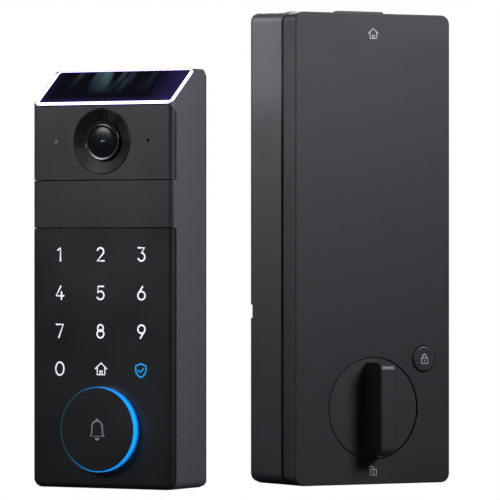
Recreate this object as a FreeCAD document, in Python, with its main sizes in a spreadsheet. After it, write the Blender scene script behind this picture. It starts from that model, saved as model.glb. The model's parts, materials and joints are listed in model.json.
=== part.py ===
"""Keypad smart lock: the exterior keypad unit and the interior thumbturn unit, as separate named pieces.

Each unit is drawn in a frame of its own: x to the right as seen from its front, z up from its bottom,
and depth measured from the door face (depth 0) towards the front, which is the -Y direction.
Both units then stand side by side on the ground plane, turned away from each other.
"""
import FreeCAD, Part
import Sketcher
import math
import os

Vector = FreeCAD.Vector
doc = FreeCAD.newDocument("SmartLock")
sheet = doc.addObject("Spreadsheet::Sheet", "Sizes")


class Size:
    """A length or an angle that knows its number and the sheet expression that it comes from."""

    def __init__(self, value, text):
        self.value = value
        self.text = text

    def joined(self, sign, value, other, swapped=False):
        first, second = (written(other), self.text) if swapped else (self.text, written(other))
        return Size(value, f"({first} {sign} {second})")

    def __add__(self, other):
        return self.joined("+", self.value + number(other), other)

    def __radd__(self, other):
        return self.joined("+", number(other) + self.value, other, swapped=True)

    def __sub__(self, other):
        return self.joined("-", self.value - number(other), other)

    def __rsub__(self, other):
        return self.joined("-", number(other) - self.value, other, swapped=True)

    def __mul__(self, other):
        return self.joined("*", self.value * number(other), other)

    def __rmul__(self, other):
        return self.joined("*", number(other) * self.value, other, swapped=True)

    def __truediv__(self, other):
        return self.joined("/", self.value / number(other), other)

    def __neg__(self):
        return Size(-self.value, f"(-1 * {self.text})")


def number(size):
    return size.value if isinstance(size, Size) else float(size)


def written(size):
    return size.text if isinstance(size, Size) else repr(float(size))


def sine(angle):
    return Size(math.sin(math.radians(number(angle))), f"sin({angle.text} * 1 deg)")


def cosine(angle):
    return Size(math.cos(math.radians(number(angle))), f"cos({angle.text} * 1 deg)")


def slope_angle(rise, run):
    """The angle in degrees of a line that climbs rise over run, as a plain number."""
    text = f"(atan({rise.text} / {run.text}) / 1 deg)"
    return Size(math.degrees(math.atan2(number(rise), number(run))), text)


rows_used = 0


def size(alias, value, note):
    """Write one driving dimension into the sheet and return it."""
    global rows_used
    rows_used += 1
    sheet.set(f"A{rows_used}", note)
    sheet.set(f"B{rows_used}", str(value))
    sheet.setAlias(f"B{rows_used}", alias)
    return Size(value, f"Sizes.{alias}")


# ---- general gaps and fits -------------------------------------------------------------------------
REST_GAP = size("rest_gap", 0.15, "gap between fixed neighbours")
SEAM = size("seam", 0.45, "gap at the seams between the front panels")
RUN_FIT = size("run_fit", 0.06, "radial clearance of a running shaft")
FREE_GAP = size("free_gap", 0.4, "radial gap round a moving cap")

# ---- exterior unit ---------------------------------------------------------------------------------
E_WIDTH = size("ext_width", 71.2, "exterior unit, width")
E_HEIGHT = size("ext_height", 183.9, "exterior unit, height")
E_DEPTH = size("ext_depth", 31.1, "exterior unit, depth from door to front face")
E_WALL = size("ext_wall", 2.2, "exterior housing, side and bottom wall")
E_ROOF = size("ext_roof", 1.2, "exterior housing, wall at the crest")
E_BACK = size("ext_back_wall", 2.0, "exterior housing, rear wall")
E_GASKET = size("ext_gasket", 1.8, "door gasket, thickness")
GASKET_BAND = size("gasket_band", 6.0, "door gasket, width of its band")
GASKET_INSET = size("gasket_inset", 0.5, "door gasket, inset from the housing")
PANEL_RETURN = size("panel_return", 3.5, "front panels, depth of the wrapped edge")
BAND_RETURN = size("band_return", 1.5, "middle panel, depth of the wrapped edge")
PANEL_SKIN = size("panel_skin", 1.6, "front panels, thickness of the face")
PANEL_RIM = size("panel_rim", 1.8, "front panels, thickness of the wrapped edge")
EDGE_ROUND = size("edge_round", 2.4, "rounding of the vertical front edges")
E_CORNER = size("ext_corner", 4.0, "rounding of the bottom corners in front view")
REAR_ROUND = size("rear_round", 2.8, "rounding of the rear top edge")
LOWER_SEAM = size("lower_seam", 114.2, "height of the seam over the keypad")
UPPER_SEAM = size("upper_seam", 135.1, "height of the seam under the camera panel")
CREASE = size("crease_height", 168.0, "height where the slanted top begins")
CREST = size("crest_depth", 9.7, "depth of the crest of the slanted top")

LIGHT_BAR = size("light_bar", 2.6, "light strip, width")
LIGHT_THICK = size("light_thick", 3.0, "light strip, thickness")
LIGHT_CORNER = size("light_corner", 3.0, "light strip, outer corner radius")
WINDOW_THICK = size("window_thick", 1.8, "palm window, thickness")
LED_BOARD = size("led_board", 1.0, "board under the light strip, thickness")

CAMERA_Z = size("camera_height", 152.2, "height of the camera and of the small sensors")
BEZEL_R = size("bezel_outer", 14.4, "camera bezel, outer radius")
BEZEL_NECK = size("bezel_neck", 1.8, "camera bezel, how far its neck is set in from the flange")
BEZEL_FLANGE = size("bezel_flange", 0.6, "camera bezel, thickness of its flange")
LENS_R = size("lens_outer", 6.6, "lens cover, radius")
BARREL_WALL = size("barrel_wall", 2.0, "lens barrel, wall with the gap round the lens")
LENS_RISE = size("lens_rise", 0.5, "lens cover, how far it stands out")
BARREL_LONG = size("barrel_long", 12.0, "lens barrel, length")
EYE_OFFSET = size("eye_offset", 23.3, "distance of the small sensors from the middle")
DOT_R = size("dot_outer", 0.9, "light sensor window, radius")
MIC_HOLE = size("mic_hole", 0.7, "microphone hole, radius")
MIC_R = size("mic_outer", 3.0, "microphone, radius")

BELL_Z = size("bell_height", 26.0, "height of the doorbell button")
RING_R = size("ring_outer", 18.7, "doorbell light ring, outer radius")
RING_WALL = size("ring_wall", 0.5, "doorbell light ring, wall")
BELL_RISE = size("bell_rise", 4.1, "doorbell button, how far it stands out")
BELL_TRAVEL = size("bell_travel", 0.5, "doorbell button, travel")
BELL_CAP = size("bell_cap", 3.6, "doorbell button, thickness of its cap")
STEM_R = size("stem_outer", 3.0, "doorbell button, stem radius")
STEM_LONG = size("stem_long", 5.0, "doorbell button, stem length")

BOARD = size("board_thick", 1.6, "circuit boards, thickness")
E_BOARD_SIDE = size("ext_board_side", 4.4, "exterior main board, gap to each side wall")
E_BOARD_LOW = size("ext_board_low", 9.0, "exterior main board, height of its lower end")
E_BOARD_HIGH = size("ext_board_high", 25.0, "exterior main board, gap from its upper end to the crest")
E_BOARD_D = size("ext_board_depth", 6.4, "exterior main board, depth of its rear face")
KEY_BOARD_GAP = size("key_board_gap", 2.0, "keypad board, gap to the panel's rim")
SPEAKER_R = size("speaker_outer", 14.0, "speaker, radius")
SPEAKER_L = size("speaker_long", 5.0, "speaker, thickness")
SLOT_W = size("slot_width", 1.4, "speaker slots, width")
SLOT_L = size("slot_long", 11.0, "speaker slots, length")
USB_W = size("usb_width", 9.0, "power socket, width")
USB_T = size("usb_thick", 3.2, "power socket, thickness")
USB_L = size("usb_long", 7.3, "power socket, length")
USB_D = size("usb_depth", 14.0, "power socket, depth of its middle")

BORE_Z = size("bore_height", 33.9, "height of the door bore's axis on both units")
BOLT_SPACING = size("bolt_spacing", 41.0, "distance between the two through bolts")
POST_R = size("post_outer", 3.75, "threaded posts, radius")
POST_L = size("post_long", 15.0, "threaded posts, length")
THREAD_R = size("thread_inner", 2.1, "threaded posts, hole radius")
THREAD_L = size("thread_long", 12.0, "threaded posts, thread length")
CABLE_R = size("cable_hole", 7.0, "cable opening, radius")
SCREW_HEAD_R = size("screw_head", 2.7, "case screws, head radius")
SCREW_R = size("screw_shank", 1.25, "case screws, shank radius")
SCREW_L = size("screw_long", 4.2, "case screws, shank length")

# ---- interior unit ---------------------------------------------------------------------------------
I_WIDTH = size("int_width", 79.2, "front cover, width")
I_HEIGHT = size("int_height", 210.0, "front cover, height")
I_DEPTH = size("int_depth", 38.8, "interior unit, depth from door to front face")
I_CORNER = size("int_corner", 4.1, "front cover, corner radius in front view")
I_PLATE = size("int_plate", 2.8, "mounting plate, thickness")
I_PLATE_INSET = size("plate_inset", 0.5, "mounting plate, inset from the housing")
HOUSING_D = size("housing_deep", 24.1, "interior housing, depth")
HOUSING_LIP = size("housing_lip", 0.6, "interior housing, how far it stands out round the cover")
DRAFT_SIDE = size("draft_side", 1.35, "interior housing, growth of each side towards the rear")
DRAFT_TOP = size("draft_top", 0.8, "interior housing, growth of the top towards the rear")
I_WALL = size("int_wall", 2.0, "interior housing and cover, wall")
COVER_SEAM = size("cover_seam", 0.6, "gap between housing and cover")
COVER_SKIN = size("cover_skin", 2.4, "front cover, thickness of the face")
COVER_EDGE = size("cover_edge", 0.5, "front cover, rounding of the front edge")
HOUSING_CHAMFER = size("housing_chamfer", 0.4, "interior housing, chamfer of the front edge")
FRAME_GAP = size("frame_gap", 0.4, "inner frame, gap to the cover's walls")
FRAME_WALL = size("frame_wall", 1.8, "inner frame, wall")
FRAME_D = size("frame_depth", 10.0, "inner frame, depth of its rear edge")
FRAME_FRONT = size("frame_front", 29.5, "inner frame, depth of its front edge")
DECK = size("deck_thick", 2.0, "inner frame, thickness of the deck over the gears")
DECK_FRONT = size("deck_front", 28.5, "inner frame, depth of the deck's front face")
BAY_FLOOR = size("bay_floor", 99.0, "battery bay, height of its floor")
BAY_DROP = size("bay_drop", 10.9, "battery bay, how far its top is below the frame's top")
BATTERY_SIDE = size("battery_side", 1.4, "battery pack, gap to each side of the bay")
BATTERY_END = size("battery_end", 2.0, "battery pack, gap to each end of the bay")
BATTERY_T = size("battery_thick", 21.0, "battery pack, thickness")
BATTERY_D = size("battery_depth", 9.0, "battery pack, depth of its rear face")

KNOB_R = size("knob_disc", 22.6, "thumbturn, disc radius")
KNOB_SINK = size("knob_sink", 0.3, "thumbturn, how deep the disc sits below the cover")
KNOB_DISC = size("knob_thick", 5.5, "thumbturn, disc thickness")
BAR_W = size("bar_width", 7.3, "thumbturn bar, width")
BAR_L = size("bar_long", 41.5, "thumbturn bar, length")
BAR_RISE = size("bar_rise", 13.5, "thumbturn bar, how far it stands out of the cover")
BAR_ROUND = size("bar_round", 3.5, "thumbturn bar, rounding of its outer ends")
BAR_EDGE = size("bar_edge", 0.8, "thumbturn bar, rounding of its long edges")
SPINDLE_R = size("spindle_outer", 5.0, "spindle, radius")
SPINDLE_D = size("spindle_depth", 9.0, "spindle, depth of its rear end")
TAIL_W = size("tail_width", 8.0, "tailpiece, width")
TAIL_T = size("tail_thick", 2.0, "tailpiece, thickness")
TAIL_L = size("tail_long", 34.0, "tailpiece, length behind the door face")
REAR_HOLE = size("rear_hole", 11.0, "rear opening for the tailpiece and cable, radius")
BUSH_WALL = size("bush_wall", 2.0, "spindle bush, wall")

WHEEL_GAP = size("wheel_gap", 0.6, "idler, room between its large wheel and the spindle")
GEAR_LASH = size("gear_lash", 0.12, "backlash between two gears")
GEAR_FACE = size("gear_face", 4.0, "gear face width")
LAYER_A = size("layer_rear", 14.0, "depth of the rear gear layer")
LAYER_B = size("layer_front", 20.0, "depth of the front gear layer")
IDLER_ANGLE = size("idler_angle", 112.6, "direction from the spindle to the idler, in degrees")
MOTOR_ANGLE = size("motor_angle", 90.0, "direction from the idler to the motor, in degrees")
PIN_R = size("pin_outer", 1.5, "idler pin, radius")
MOTOR_R = size("motor_outer", 10.0, "motor, radius")
MOTOR_D = size("motor_depth", 8.2, "motor, depth of its rear face")
MOTOR_L = size("motor_long", 10.4, "motor, length of the can")
MOTOR_SHAFT = size("motor_shaft", 1.0, "motor shaft, radius")
GEAR_PLATE = size("gear_plate", 1.8, "gear plate, thickness")

BUTTON_X = size("button_offset", 26.0, "lock button, distance from the middle")
BUTTON_Z = size("button_height", 55.7, "lock button, height")
BUTTON_R = size("button_outer", 5.75, "lock button, radius")
BUTTON_RISE = size("button_rise", 1.0, "lock button, how far it stands out")
BUTTON_TRAVEL = size("button_travel", 0.8, "lock button, travel")
BUTTON_CAP = size("button_cap", 5.8, "lock button, thickness")
TAB_W = size("tab_width", 26.0, "release tab, width")
TAB_RISE = size("tab_rise", 1.5, "release tab, how far it stands above the cover")
TAB_T = size("tab_thick", 3.0, "release tab, thickness")
TAB_TRAVEL = size("tab_travel", 1.2, "release tab, travel")
TAB_FLANGE = size("tab_flange", 2.0, "release tab, thickness of its flange")
SPRING_T = size("spring_thick", 0.3, "tab spring, thickness of the leaf")
SPRING_SEAT = size("spring_seat", 2.0, "tab spring, height of its seat above the battery bay")

# ---- where the two units stand ---------------------------------------------------------------------
TURN = size("unit_turn", 28.5, "angle that each unit is turned away from the other, in degrees")
E_X = size("ext_place_x", -50.2, "exterior unit, middle of its door face")
E_Y = size("ext_place_y", 44.2, "exterior unit, middle of its door face")
I_X = size("int_place_x", 36.3, "interior unit, middle of its door face")
I_Y = size("int_place_y", 87.5, "interior unit, middle of its door face")
SHIFT_X = size("shift_x", 0, "moves everything so that the origin is under the middle")
SHIFT_Y = size("shift_y", 0, "moves everything so that the origin is under the middle")

EXTERIOR = (E_X, E_Y, -TURN)
INTERIOR = (I_X, I_Y, TURN)

# ---- sizes that follow from the ones above ---------------------------------------------------------
SLANT_RISE = E_HEIGHT - CREASE
SLANT_RUN = E_DEPTH - CREST
SLOPE = slope_angle(SLANT_RISE, SLANT_RUN)
SLANT_LENGTH = SLANT_RUN / cosine(SLOPE)
SLANT_OPEN = SLANT_LENGTH - E_ROOF / sine(SLOPE)
MITRE_DROP = cosine(SLOPE) / sine(SLOPE)
CAVITY_W = E_WIDTH - 2 * E_WALL
PANEL_D = E_DEPTH - PANEL_RETURN
BAND_D = E_DEPTH - BAND_RETURN
SKIN_D = E_DEPTH - PANEL_SKIN
BELL_FRONT = E_DEPTH + BELL_RISE
HOUSING_FRONT = I_PLATE + HOUSING_D
COVER_D = HOUSING_FRONT + COVER_SEAM
SKIN_BACK = I_DEPTH - COVER_SKIN
KNOB_FRONT = I_DEPTH - KNOB_SINK
KNOB_BACK = KNOB_FRONT - KNOB_DISC
FRAME_W = I_WIDTH - 2 * (I_WALL + FRAME_GAP)
FRAME_H = I_HEIGHT - 2 * (I_WALL + FRAME_GAP)
FRAME_Z = (I_HEIGHT + HOUSING_LIP) / 2
FRAME_TOP = FRAME_Z + FRAME_H / 2
BAY_TOP = FRAME_TOP - BAY_DROP
BATTERY_W = FRAME_W - 2 * (FRAME_WALL + BATTERY_SIDE)
BATTERY_L = BAY_TOP - BAY_FLOOR - 2 * BATTERY_END
BUSH_R = SPINDLE_R + BUSH_WALL
KNOB_HOLE = KNOB_R + FREE_GAP
BARREL_R = LENS_R + BARREL_WALL
E_BOARD_W = E_WIDTH - 2 * (E_WALL + E_BOARD_SIDE)
E_BOARD_L = E_HEIGHT - E_BOARD_LOW - E_BOARD_HIGH
KEY_BOARD_W = E_WIDTH - 2 * (PANEL_RIM + KEY_BOARD_GAP)
KEY_BOARD_TOP = LOWER_SEAM - PANEL_RIM - KEY_BOARD_GAP
KEY_BOARD_LOW = BELL_Z + RING_R + PANEL_RIM + KEY_BOARD_GAP
PLATE_D = FRAME_D + REST_GAP
DECK_BACK = DECK_FRONT - DECK

SPINDLE_TEETH = 40
IDLER_SMALL_TEETH = 12
IDLER_LARGE_TEETH = 36
PINION_TEETH = 12
WHEEL_TIP_TEETH = IDLER_LARGE_TEETH + 2
GEAR_MODULE = (SPINDLE_R + WHEEL_GAP) / ((SPINDLE_TEETH + IDLER_SMALL_TEETH - WHEEL_TIP_TEETH) / 2)
FIRST_CENTRES = (SPINDLE_TEETH + IDLER_SMALL_TEETH) / 2 * GEAR_MODULE
SECOND_CENTRES = (IDLER_LARGE_TEETH + PINION_TEETH) / 2 * GEAR_MODULE
IDLER_X = FIRST_CENTRES * cosine(IDLER_ANGLE)
IDLER_Z = BORE_Z + FIRST_CENTRES * sine(IDLER_ANGLE)
MOTOR_X = IDLER_X + SECOND_CENTRES * cosine(MOTOR_ANGLE)
MOTOR_Z = IDLER_Z + SECOND_CENTRES * sine(MOTOR_ANGLE)

subparts = []


# ---- how pieces are drawn --------------------------------------------------------------------------
def bind(thing, prop, value):
    """Tie a property to the sheet, or set it when it is a plain number."""
    if isinstance(value, Size):
        thing.setExpression(prop, value.text)
    else:
        setattr(thing, prop, value)


def keep(thing, label, unit):
    """Name a finished sub-part and stand it in its unit."""
    thing.Label = label
    place_x, place_y, turn = unit
    thing.Placement = FreeCAD.Placement(Vector(0, 0, 0), FreeCAD.Rotation(Vector(0, 0, 1), 1))
    bind(thing, "Placement.Base.x", place_x + SHIFT_X)
    bind(thing, "Placement.Base.y", place_y + SHIFT_Y)
    bind(thing, "Placement.Rotation.Angle", turn)
    subparts.append(thing)


def new_body(label, unit):
    body = doc.addObject("PartDesign::Body", label)
    keep(body, label, unit)
    return body


def sketch_on(body, role, offset=0.0, along_x=0.0, along_y=0.0, tilt=None):
    """A sketch on one of the body's own planes, moved out by offset and optionally tilted about x."""
    sketch = body.newObject("Sketcher::SketchObject", body.Name + "_sketch")
    plane = next(p for p in body.Origin.OriginFeatures if p.Role == role)
    sketch.AttachmentSupport = [(plane, "")]
    sketch.MapMode = "FlatFace"
    start = Vector(number(along_x), number(along_y), number(offset))
    turned = FreeCAD.Rotation(Vector(1, 0, 0), 1 if tilt is not None else 0)
    sketch.AttachmentOffset = FreeCAD.Placement(start, turned)
    for axis, value in (("x", along_x), ("y", along_y), ("z", offset)):
        if isinstance(value, Size):
            sketch.setExpression(f"AttachmentOffset.Base.{axis}", value.text)
    if tilt is not None:
        sketch.setExpression("AttachmentOffset.Rotation.Angle", tilt.text)
    return sketch


def fix_point(sketch, geometry, end, x, y):
    """Hold one point of a sketch at x, y."""
    for kind, value in (("DistanceX", x), ("DistanceY", y)):
        index = sketch.addConstraint(Sketcher.Constraint(kind, -1, 1, geometry, end, number(value)))
        if isinstance(value, Size):
            sketch.setExpression(f"Constraints[{index}]", value.text)


def draw_polygon(sketch, points):
    corners = [Vector(number(x), number(y), 0) for x, y in points]
    for index, corner in enumerate(corners):
        sketch.addGeometry(Part.LineSegment(corner, corners[(index + 1) % len(corners)]), False)
    for index, (x, y) in enumerate(points):
        following = (index + 1) % len(points)
        sketch.addConstraint(Sketcher.Constraint("Coincident", index, 2, following, 1))
        fix_point(sketch, index, 1, x, y)


def draw_circle(sketch, radius, x, y):
    centre = Vector(number(x), number(y), 0)
    index = sketch.addGeometry(Part.Circle(centre, Vector(0, 0, 1), number(radius)), False)
    fix_point(sketch, index, 3, x, y)
    bound = sketch.addConstraint(Sketcher.Constraint("Radius", index, number(radius)))
    if isinstance(radius, Size):
        sketch.setExpression(f"Constraints[{bound}]", radius.text)


def draw_rounded(sketch, width, height, radius, x, y, square_top=False):
    """A rectangle with rounded corners, centred at x, y; its upper corners can stay square."""
    left, right = x - width / 2, x + width / 2
    low, high = y - height / 2, y + height / 2
    quarter = math.pi / 2
    upward = Vector(0, 0, 1)
    tops = [(right, high), (left, high)] if square_top else [
        (right, high - radius), (right - radius, high), (left + radius, high), (left, high - radius)]
    points = [(left + radius, low), (right - radius, low), (right, low + radius)] + tops + [(left, low + radius)]
    arcs = {1: (right - radius, low + radius, 3), len(points) - 1: (left + radius, low + radius, 2)}
    if not square_top:
        arcs[3] = (right - radius, high - radius, 0)
        arcs[5] = (left + radius, high - radius, 1)
    for index, (px, py) in enumerate(points):
        following = points[(index + 1) % len(points)]
        if index in arcs:
            cx, cy, turn = arcs[index]
            circle = Part.Circle(Vector(number(cx), number(cy), 0), upward, number(radius))
            sketch.addGeometry(Part.ArcOfCircle(circle, turn * quarter, (turn + 1) * quarter), False)
            bound = sketch.addConstraint(Sketcher.Constraint("Radius", index, number(radius)))
            if isinstance(radius, Size):
                sketch.setExpression(f"Constraints[{bound}]", radius.text)
        else:
            start = Vector(number(px), number(py), 0)
            stop = Vector(number(following[0]), number(following[1]), 0)
            sketch.addGeometry(Part.LineSegment(start, stop), False)
            fix_point(sketch, index, 1, px, py)
            fix_point(sketch, index, 2, *following)
    for index in range(len(points)):
        following = (index + 1) % len(points)
        if index in arcs or following in arcs:
            sketch.addConstraint(Sketcher.Constraint("Coincident", index, 2, following, 1))


def draw(sketch, outline):
    """Draw one outline: a circle (radius, x, y), a rounded rectangle or a list of corners."""
    if isinstance(outline, list):
        draw_polygon(sketch, outline)
    elif len(outline) == 3:
        draw_circle(sketch, *outline)
    else:
        draw_rounded(sketch, *outline)


def block(width, height, x, low):
    """A plain rectangle, centred on x and standing on low."""
    left, right = x - width / 2, x + width / 2
    return [(left, low), (right, low), (right, low + height), (left, low + height)]


def add(body, outline, depth, thickness, tilt=None, height=0.0):
    """Pad an outline forwards from depth."""
    sketch = sketch_on(body, "XZ_Plane", depth, 0.0, height, tilt)
    draw(sketch, outline)
    feature = body.newObject("PartDesign::Pad", body.Name + "_pad")
    feature.Profile = sketch
    bind(feature, "Length", thickness)
    doc.recompute()
    return feature


def take(body, outline, front, length, tilt=None, height=0.0):
    """Cut an outline backwards from front, and make sure that it cut."""
    sketch = sketch_on(body, "XZ_Plane", front, 0.0, height, tilt)
    draw(sketch, outline)
    finish_cut(body, sketch, length, False)


def finish_cut(body, sketch, length, both_ways):
    before = body.Shape.Volume
    feature = body.newObject("PartDesign::Pocket", body.Name + "_pocket")
    feature.Profile = sketch
    if both_ways:
        feature.SideType = "Symmetric"
    bind(feature, "Length", length)
    doc.recompute()
    if body.Shape.Volume > before - 1e-6:
        raise ValueError(feature.Name + " cuts nothing")


def take_side(body, outline, width):
    """Cut a side outline of (depth, height) corners across the middle."""
    sketch = sketch_on(body, "YZ_Plane")
    draw_polygon(sketch, [(-depth, height) for depth, height in outline])
    finish_cut(body, sketch, width, True)


def take_down(body, outline, height, length):
    """Cut a plan outline of (x, depth) corners downwards from height."""
    sketch = sketch_on(body, "XY_Plane", height)
    draw_polygon(sketch, [(x, -depth) for x, depth in outline])
    finish_cut(body, sketch, length, False)


def turned(body, profile, x, z):
    """Turn a half outline of (radius, depth) corners about the depth axis through x, z."""
    sketch = sketch_on(body, "XY_Plane", z, x)
    draw_polygon(sketch, [(radius, -depth) for radius, depth in profile])
    feature = body.newObject("PartDesign::Revolution", body.Name + "_turned")
    feature.Profile = sketch
    feature.ReferenceAxis = (sketch, ["V_Axis"])
    feature.Angle = 360
    doc.recompute()


def soften(body, kind, amount, wanted):
    """Round or chamfer the body's edges that wanted() picks."""
    base = body.Tip
    names = [f"Edge{i + 1}" for i, edge in enumerate(base.Shape.Edges) if wanted(edge)]
    feature = body.newObject("PartDesign::" + kind, body.Name + "_edges")
    feature.Base = (base, names)
    bind(feature, "Radius" if kind == "Fillet" else "Size", amount)
    doc.recompute()


def near(value, target):
    return abs(value - number(target)) < 0.02


def at_depth(edge, depth):
    """Does the whole edge lie at this depth?"""
    box = edge.BoundBox
    return near(-box.YMin, depth) and near(-box.YMax, depth)


def runs_along(edge, axis):
    box = edge.BoundBox
    spans = {"x": box.XLength, "y": box.YLength, "z": box.ZLength}
    return spans[axis] > 0.05 and all(span < 0.02 for name, span in spans.items() if name != axis)


def cylinder(radius, length, x, z, depth):
    """A primitive cylinder that runs forwards from depth."""
    solid = doc.addObject("Part::Cylinder", "Round")
    bind(solid, "Radius", radius)
    bind(solid, "Height", length)
    solid.Placement = FreeCAD.Placement(Vector(0, 0, 0), FreeCAD.Rotation(Vector(1, 0, 0), 90))
    solid.setExpression("Placement.Base.x", written(x))
    solid.setExpression("Placement.Base.y", written(-depth))
    solid.setExpression("Placement.Base.z", written(z))
    return solid


def joined(name, kind, solids):
    """Join primitives by Part::MultiFuse or Part::Compound."""
    result = doc.addObject(kind, name)
    if kind == "Part::Compound":
        result.Links = solids
    else:
        result.Shapes = solids
    return result


# ---- exterior unit: case ---------------------------------------------------------------------------
def exterior_housing():
    """Die-cast box, open at the front and over the slanted top, where the panels and window sit."""
    body = new_body("exterior_housing", EXTERIOR)
    deep = E_DEPTH - E_GASKET
    sketch = sketch_on(body, "XY_Plane")
    draw_rounded(sketch, E_WIDTH, deep, EDGE_ROUND, 0.0, -(E_GASKET + deep / 2), True)
    pad = body.newObject("PartDesign::Pad", "exterior_block")
    pad.Profile = sketch
    bind(pad, "Length", E_HEIGHT)
    doc.recompute()
    over = 1.0
    take_side(body, [
        (PANEL_D, -over),
        (E_DEPTH + over, -over),
        (E_DEPTH + over, E_HEIGHT + over),
        (CREST - over * SLANT_RUN / SLANT_RISE, E_HEIGHT + over),
        (E_DEPTH, CREASE),
        (PANEL_D, CREASE - PANEL_RETURN * MITRE_DROP),
        (PANEL_D, UPPER_SEAM),
        (BAND_D, UPPER_SEAM),
        (BAND_D, LOWER_SEAM),
        (PANEL_D, LOWER_SEAM)], E_WIDTH + 2)
    soften(body, "Fillet", REAR_ROUND, lambda e: runs_along(e, "x") and at_depth(e, E_GASKET)
           and near(e.BoundBox.ZMax, E_HEIGHT))
    soften(body, "Fillet", E_CORNER, lambda e: runs_along(e, "y") and near(e.BoundBox.ZMax, 0)
           and near(abs(e.BoundBox.XMax), E_WIDTH / 2))
    inner = E_GASKET + E_BACK
    take_side(body, [
        (inner, E_WALL),
        (E_DEPTH + over, E_WALL),
        (E_DEPTH + over, E_HEIGHT - E_ROOF),
        (inner, E_HEIGHT - E_ROOF)], CAVITY_W)
    take(body, (CABLE_R, 0.0, BORE_Z), inner + over, E_BACK + 2 * over)
    for x, z in case_screw_places():
        take(body, (SCREW_R + REST_GAP / 2, x, z), inner + over, E_BACK + 2 * over)
    take_down(body, usb_outline(REST_GAP), E_WALL + over, E_WALL + 2 * over)
    for side in (-1, 1):
        for row in (-1, 0, 1):
            slot_x = side * E_WIDTH / 4
            slot_d = USB_D + row * 2.5 * SLOT_W
            half_l, half_w = SLOT_L / 2, SLOT_W / 2
            take_down(body, [(slot_x - half_l, slot_d - half_w), (slot_x + half_l, slot_d - half_w),
                             (slot_x + half_l, slot_d + half_w), (slot_x - half_l, slot_d + half_w)],
                      E_WALL + over, E_WALL + 2 * over)


def usb_outline(gap):
    half_w, half_t = USB_W / 2 + gap, USB_T / 2 + gap
    return [(-half_w, USB_D - half_t), (half_w, USB_D - half_t), (half_w, USB_D + half_t), (-half_w, USB_D + half_t)]


def case_screw_places():
    """Four screws that hold the back plate, near its corners."""
    across = E_WIDTH / 2 - GASKET_BAND - 6
    return [(side * across, z) for side in (-1, 1) for z in (GASKET_BAND + 8, E_HEIGHT - GASKET_BAND - 8)]


def exterior_gasket():
    """Foam ring between the housing and the door."""
    body = new_body("exterior_gasket", EXTERIOR)
    width, height = E_WIDTH - 2 * GASKET_INSET, E_HEIGHT - 2 * GASKET_INSET
    middle = E_HEIGHT / 2
    add(body, (width, height, REAR_ROUND, 0.0, middle), 0.0, E_GASKET)
    take(body, (width - 2 * GASKET_BAND, height - 2 * GASKET_BAND, REAR_ROUND, 0.0, middle),
         E_GASKET + 1, E_GASKET + 2)


def exterior_back_plate():
    """Steel plate inside the gasket that carries the posts."""
    body = new_body("exterior_back_plate", EXTERIOR)
    width = E_WIDTH - 2 * (GASKET_INSET + GASKET_BAND + REST_GAP)
    height = E_HEIGHT - 2 * (GASKET_INSET + GASKET_BAND + REST_GAP)
    face = 2 * REST_GAP
    add(body, (width, height, REAR_ROUND, 0.0, E_HEIGHT / 2), face, E_GASKET - face)
    take(body, (CABLE_R, 0.0, BORE_Z), E_GASKET + 1, E_GASKET + 2)
    for side in (-1, 1):
        take(body, (POST_R + REST_GAP / 3, side * BOLT_SPACING / 2, BORE_Z), E_GASKET + 1, E_GASKET + 2)
    for x, z in case_screw_places():
        take(body, (SCREW_HEAD_R + REST_GAP, x, z), E_GASKET + 1, E_GASKET + 2)


def mounting_posts():
    """Two threaded posts that reach into the door bore and take the through bolts."""
    posts = []
    for side in (-1, 1):
        x = side * BOLT_SPACING / 2
        outer = cylinder(POST_R, POST_L + E_GASKET, x, BORE_Z, -POST_L)
        thread = cylinder(THREAD_R, THREAD_L + 1, x, BORE_Z, -POST_L - 1)
        post = doc.addObject("Part::Cut", "Post")
        post.Base = outer
        post.Tool = thread
        posts.append(post)
    keep(joined("mounting_posts", "Part::Compound", posts), "mounting_posts", EXTERIOR)


def case_screws(label, unit, places, head_depth, head):
    """Pan-head screws, head towards the door."""
    screws = []
    for x, z in places:
        solids = [cylinder(SCREW_HEAD_R, head, x, z, head_depth),
                  cylinder(SCREW_R, SCREW_L + head, x, z, head_depth)]
        screws.append(joined("Screw", "Part::MultiFuse", solids))
    keep(joined(label, "Part::Compound", screws), label, unit)


# ---- exterior unit: front panels -------------------------------------------------------------------
def camera_panel():
    body = new_body("camera_panel", EXTERIOR)
    low = UPPER_SEAM + SEAM / 2
    high = CREASE - 2 * REST_GAP
    back = PANEL_D + REST_GAP
    sketch = sketch_on(body, "YZ_Plane")
    draw_polygon(sketch, [
        (-back, low), (-E_DEPTH, low), (-E_DEPTH, high),
        (-back, high - (PANEL_RETURN - REST_GAP) * MITRE_DROP)])
    pad = body.newObject("PartDesign::Pad", "camera_panel_block")
    pad.Profile = sketch
    pad.SideType = "Symmetric"
    bind(pad, "Length", E_WIDTH)
    doc.recompute()
    soften(body, "Fillet", EDGE_ROUND, lambda e: runs_along(e, "z") and at_depth(e, E_DEPTH))
    hollow = high - low - PANEL_RIM - PANEL_RETURN * MITRE_DROP
    take(body, block(E_WIDTH - 2 * PANEL_RIM, hollow, 0.0, low + PANEL_RIM), SKIN_D, PANEL_RETURN)
    take(body, (BEZEL_R - BEZEL_NECK + REST_GAP, 0.0, CAMERA_Z), E_DEPTH + 1, PANEL_RETURN + 2)
    take(body, (BEZEL_R + REST_GAP, 0.0, CAMERA_Z), E_DEPTH + 1, 1 + BEZEL_FLANGE)
    take(body, (DOT_R + REST_GAP / 2, -EYE_OFFSET, CAMERA_Z), E_DEPTH + 1, PANEL_RETURN + 2)
    take(body, (MIC_HOLE, EYE_OFFSET, CAMERA_Z), E_DEPTH + 1, PANEL_RETURN + 2)


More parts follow.
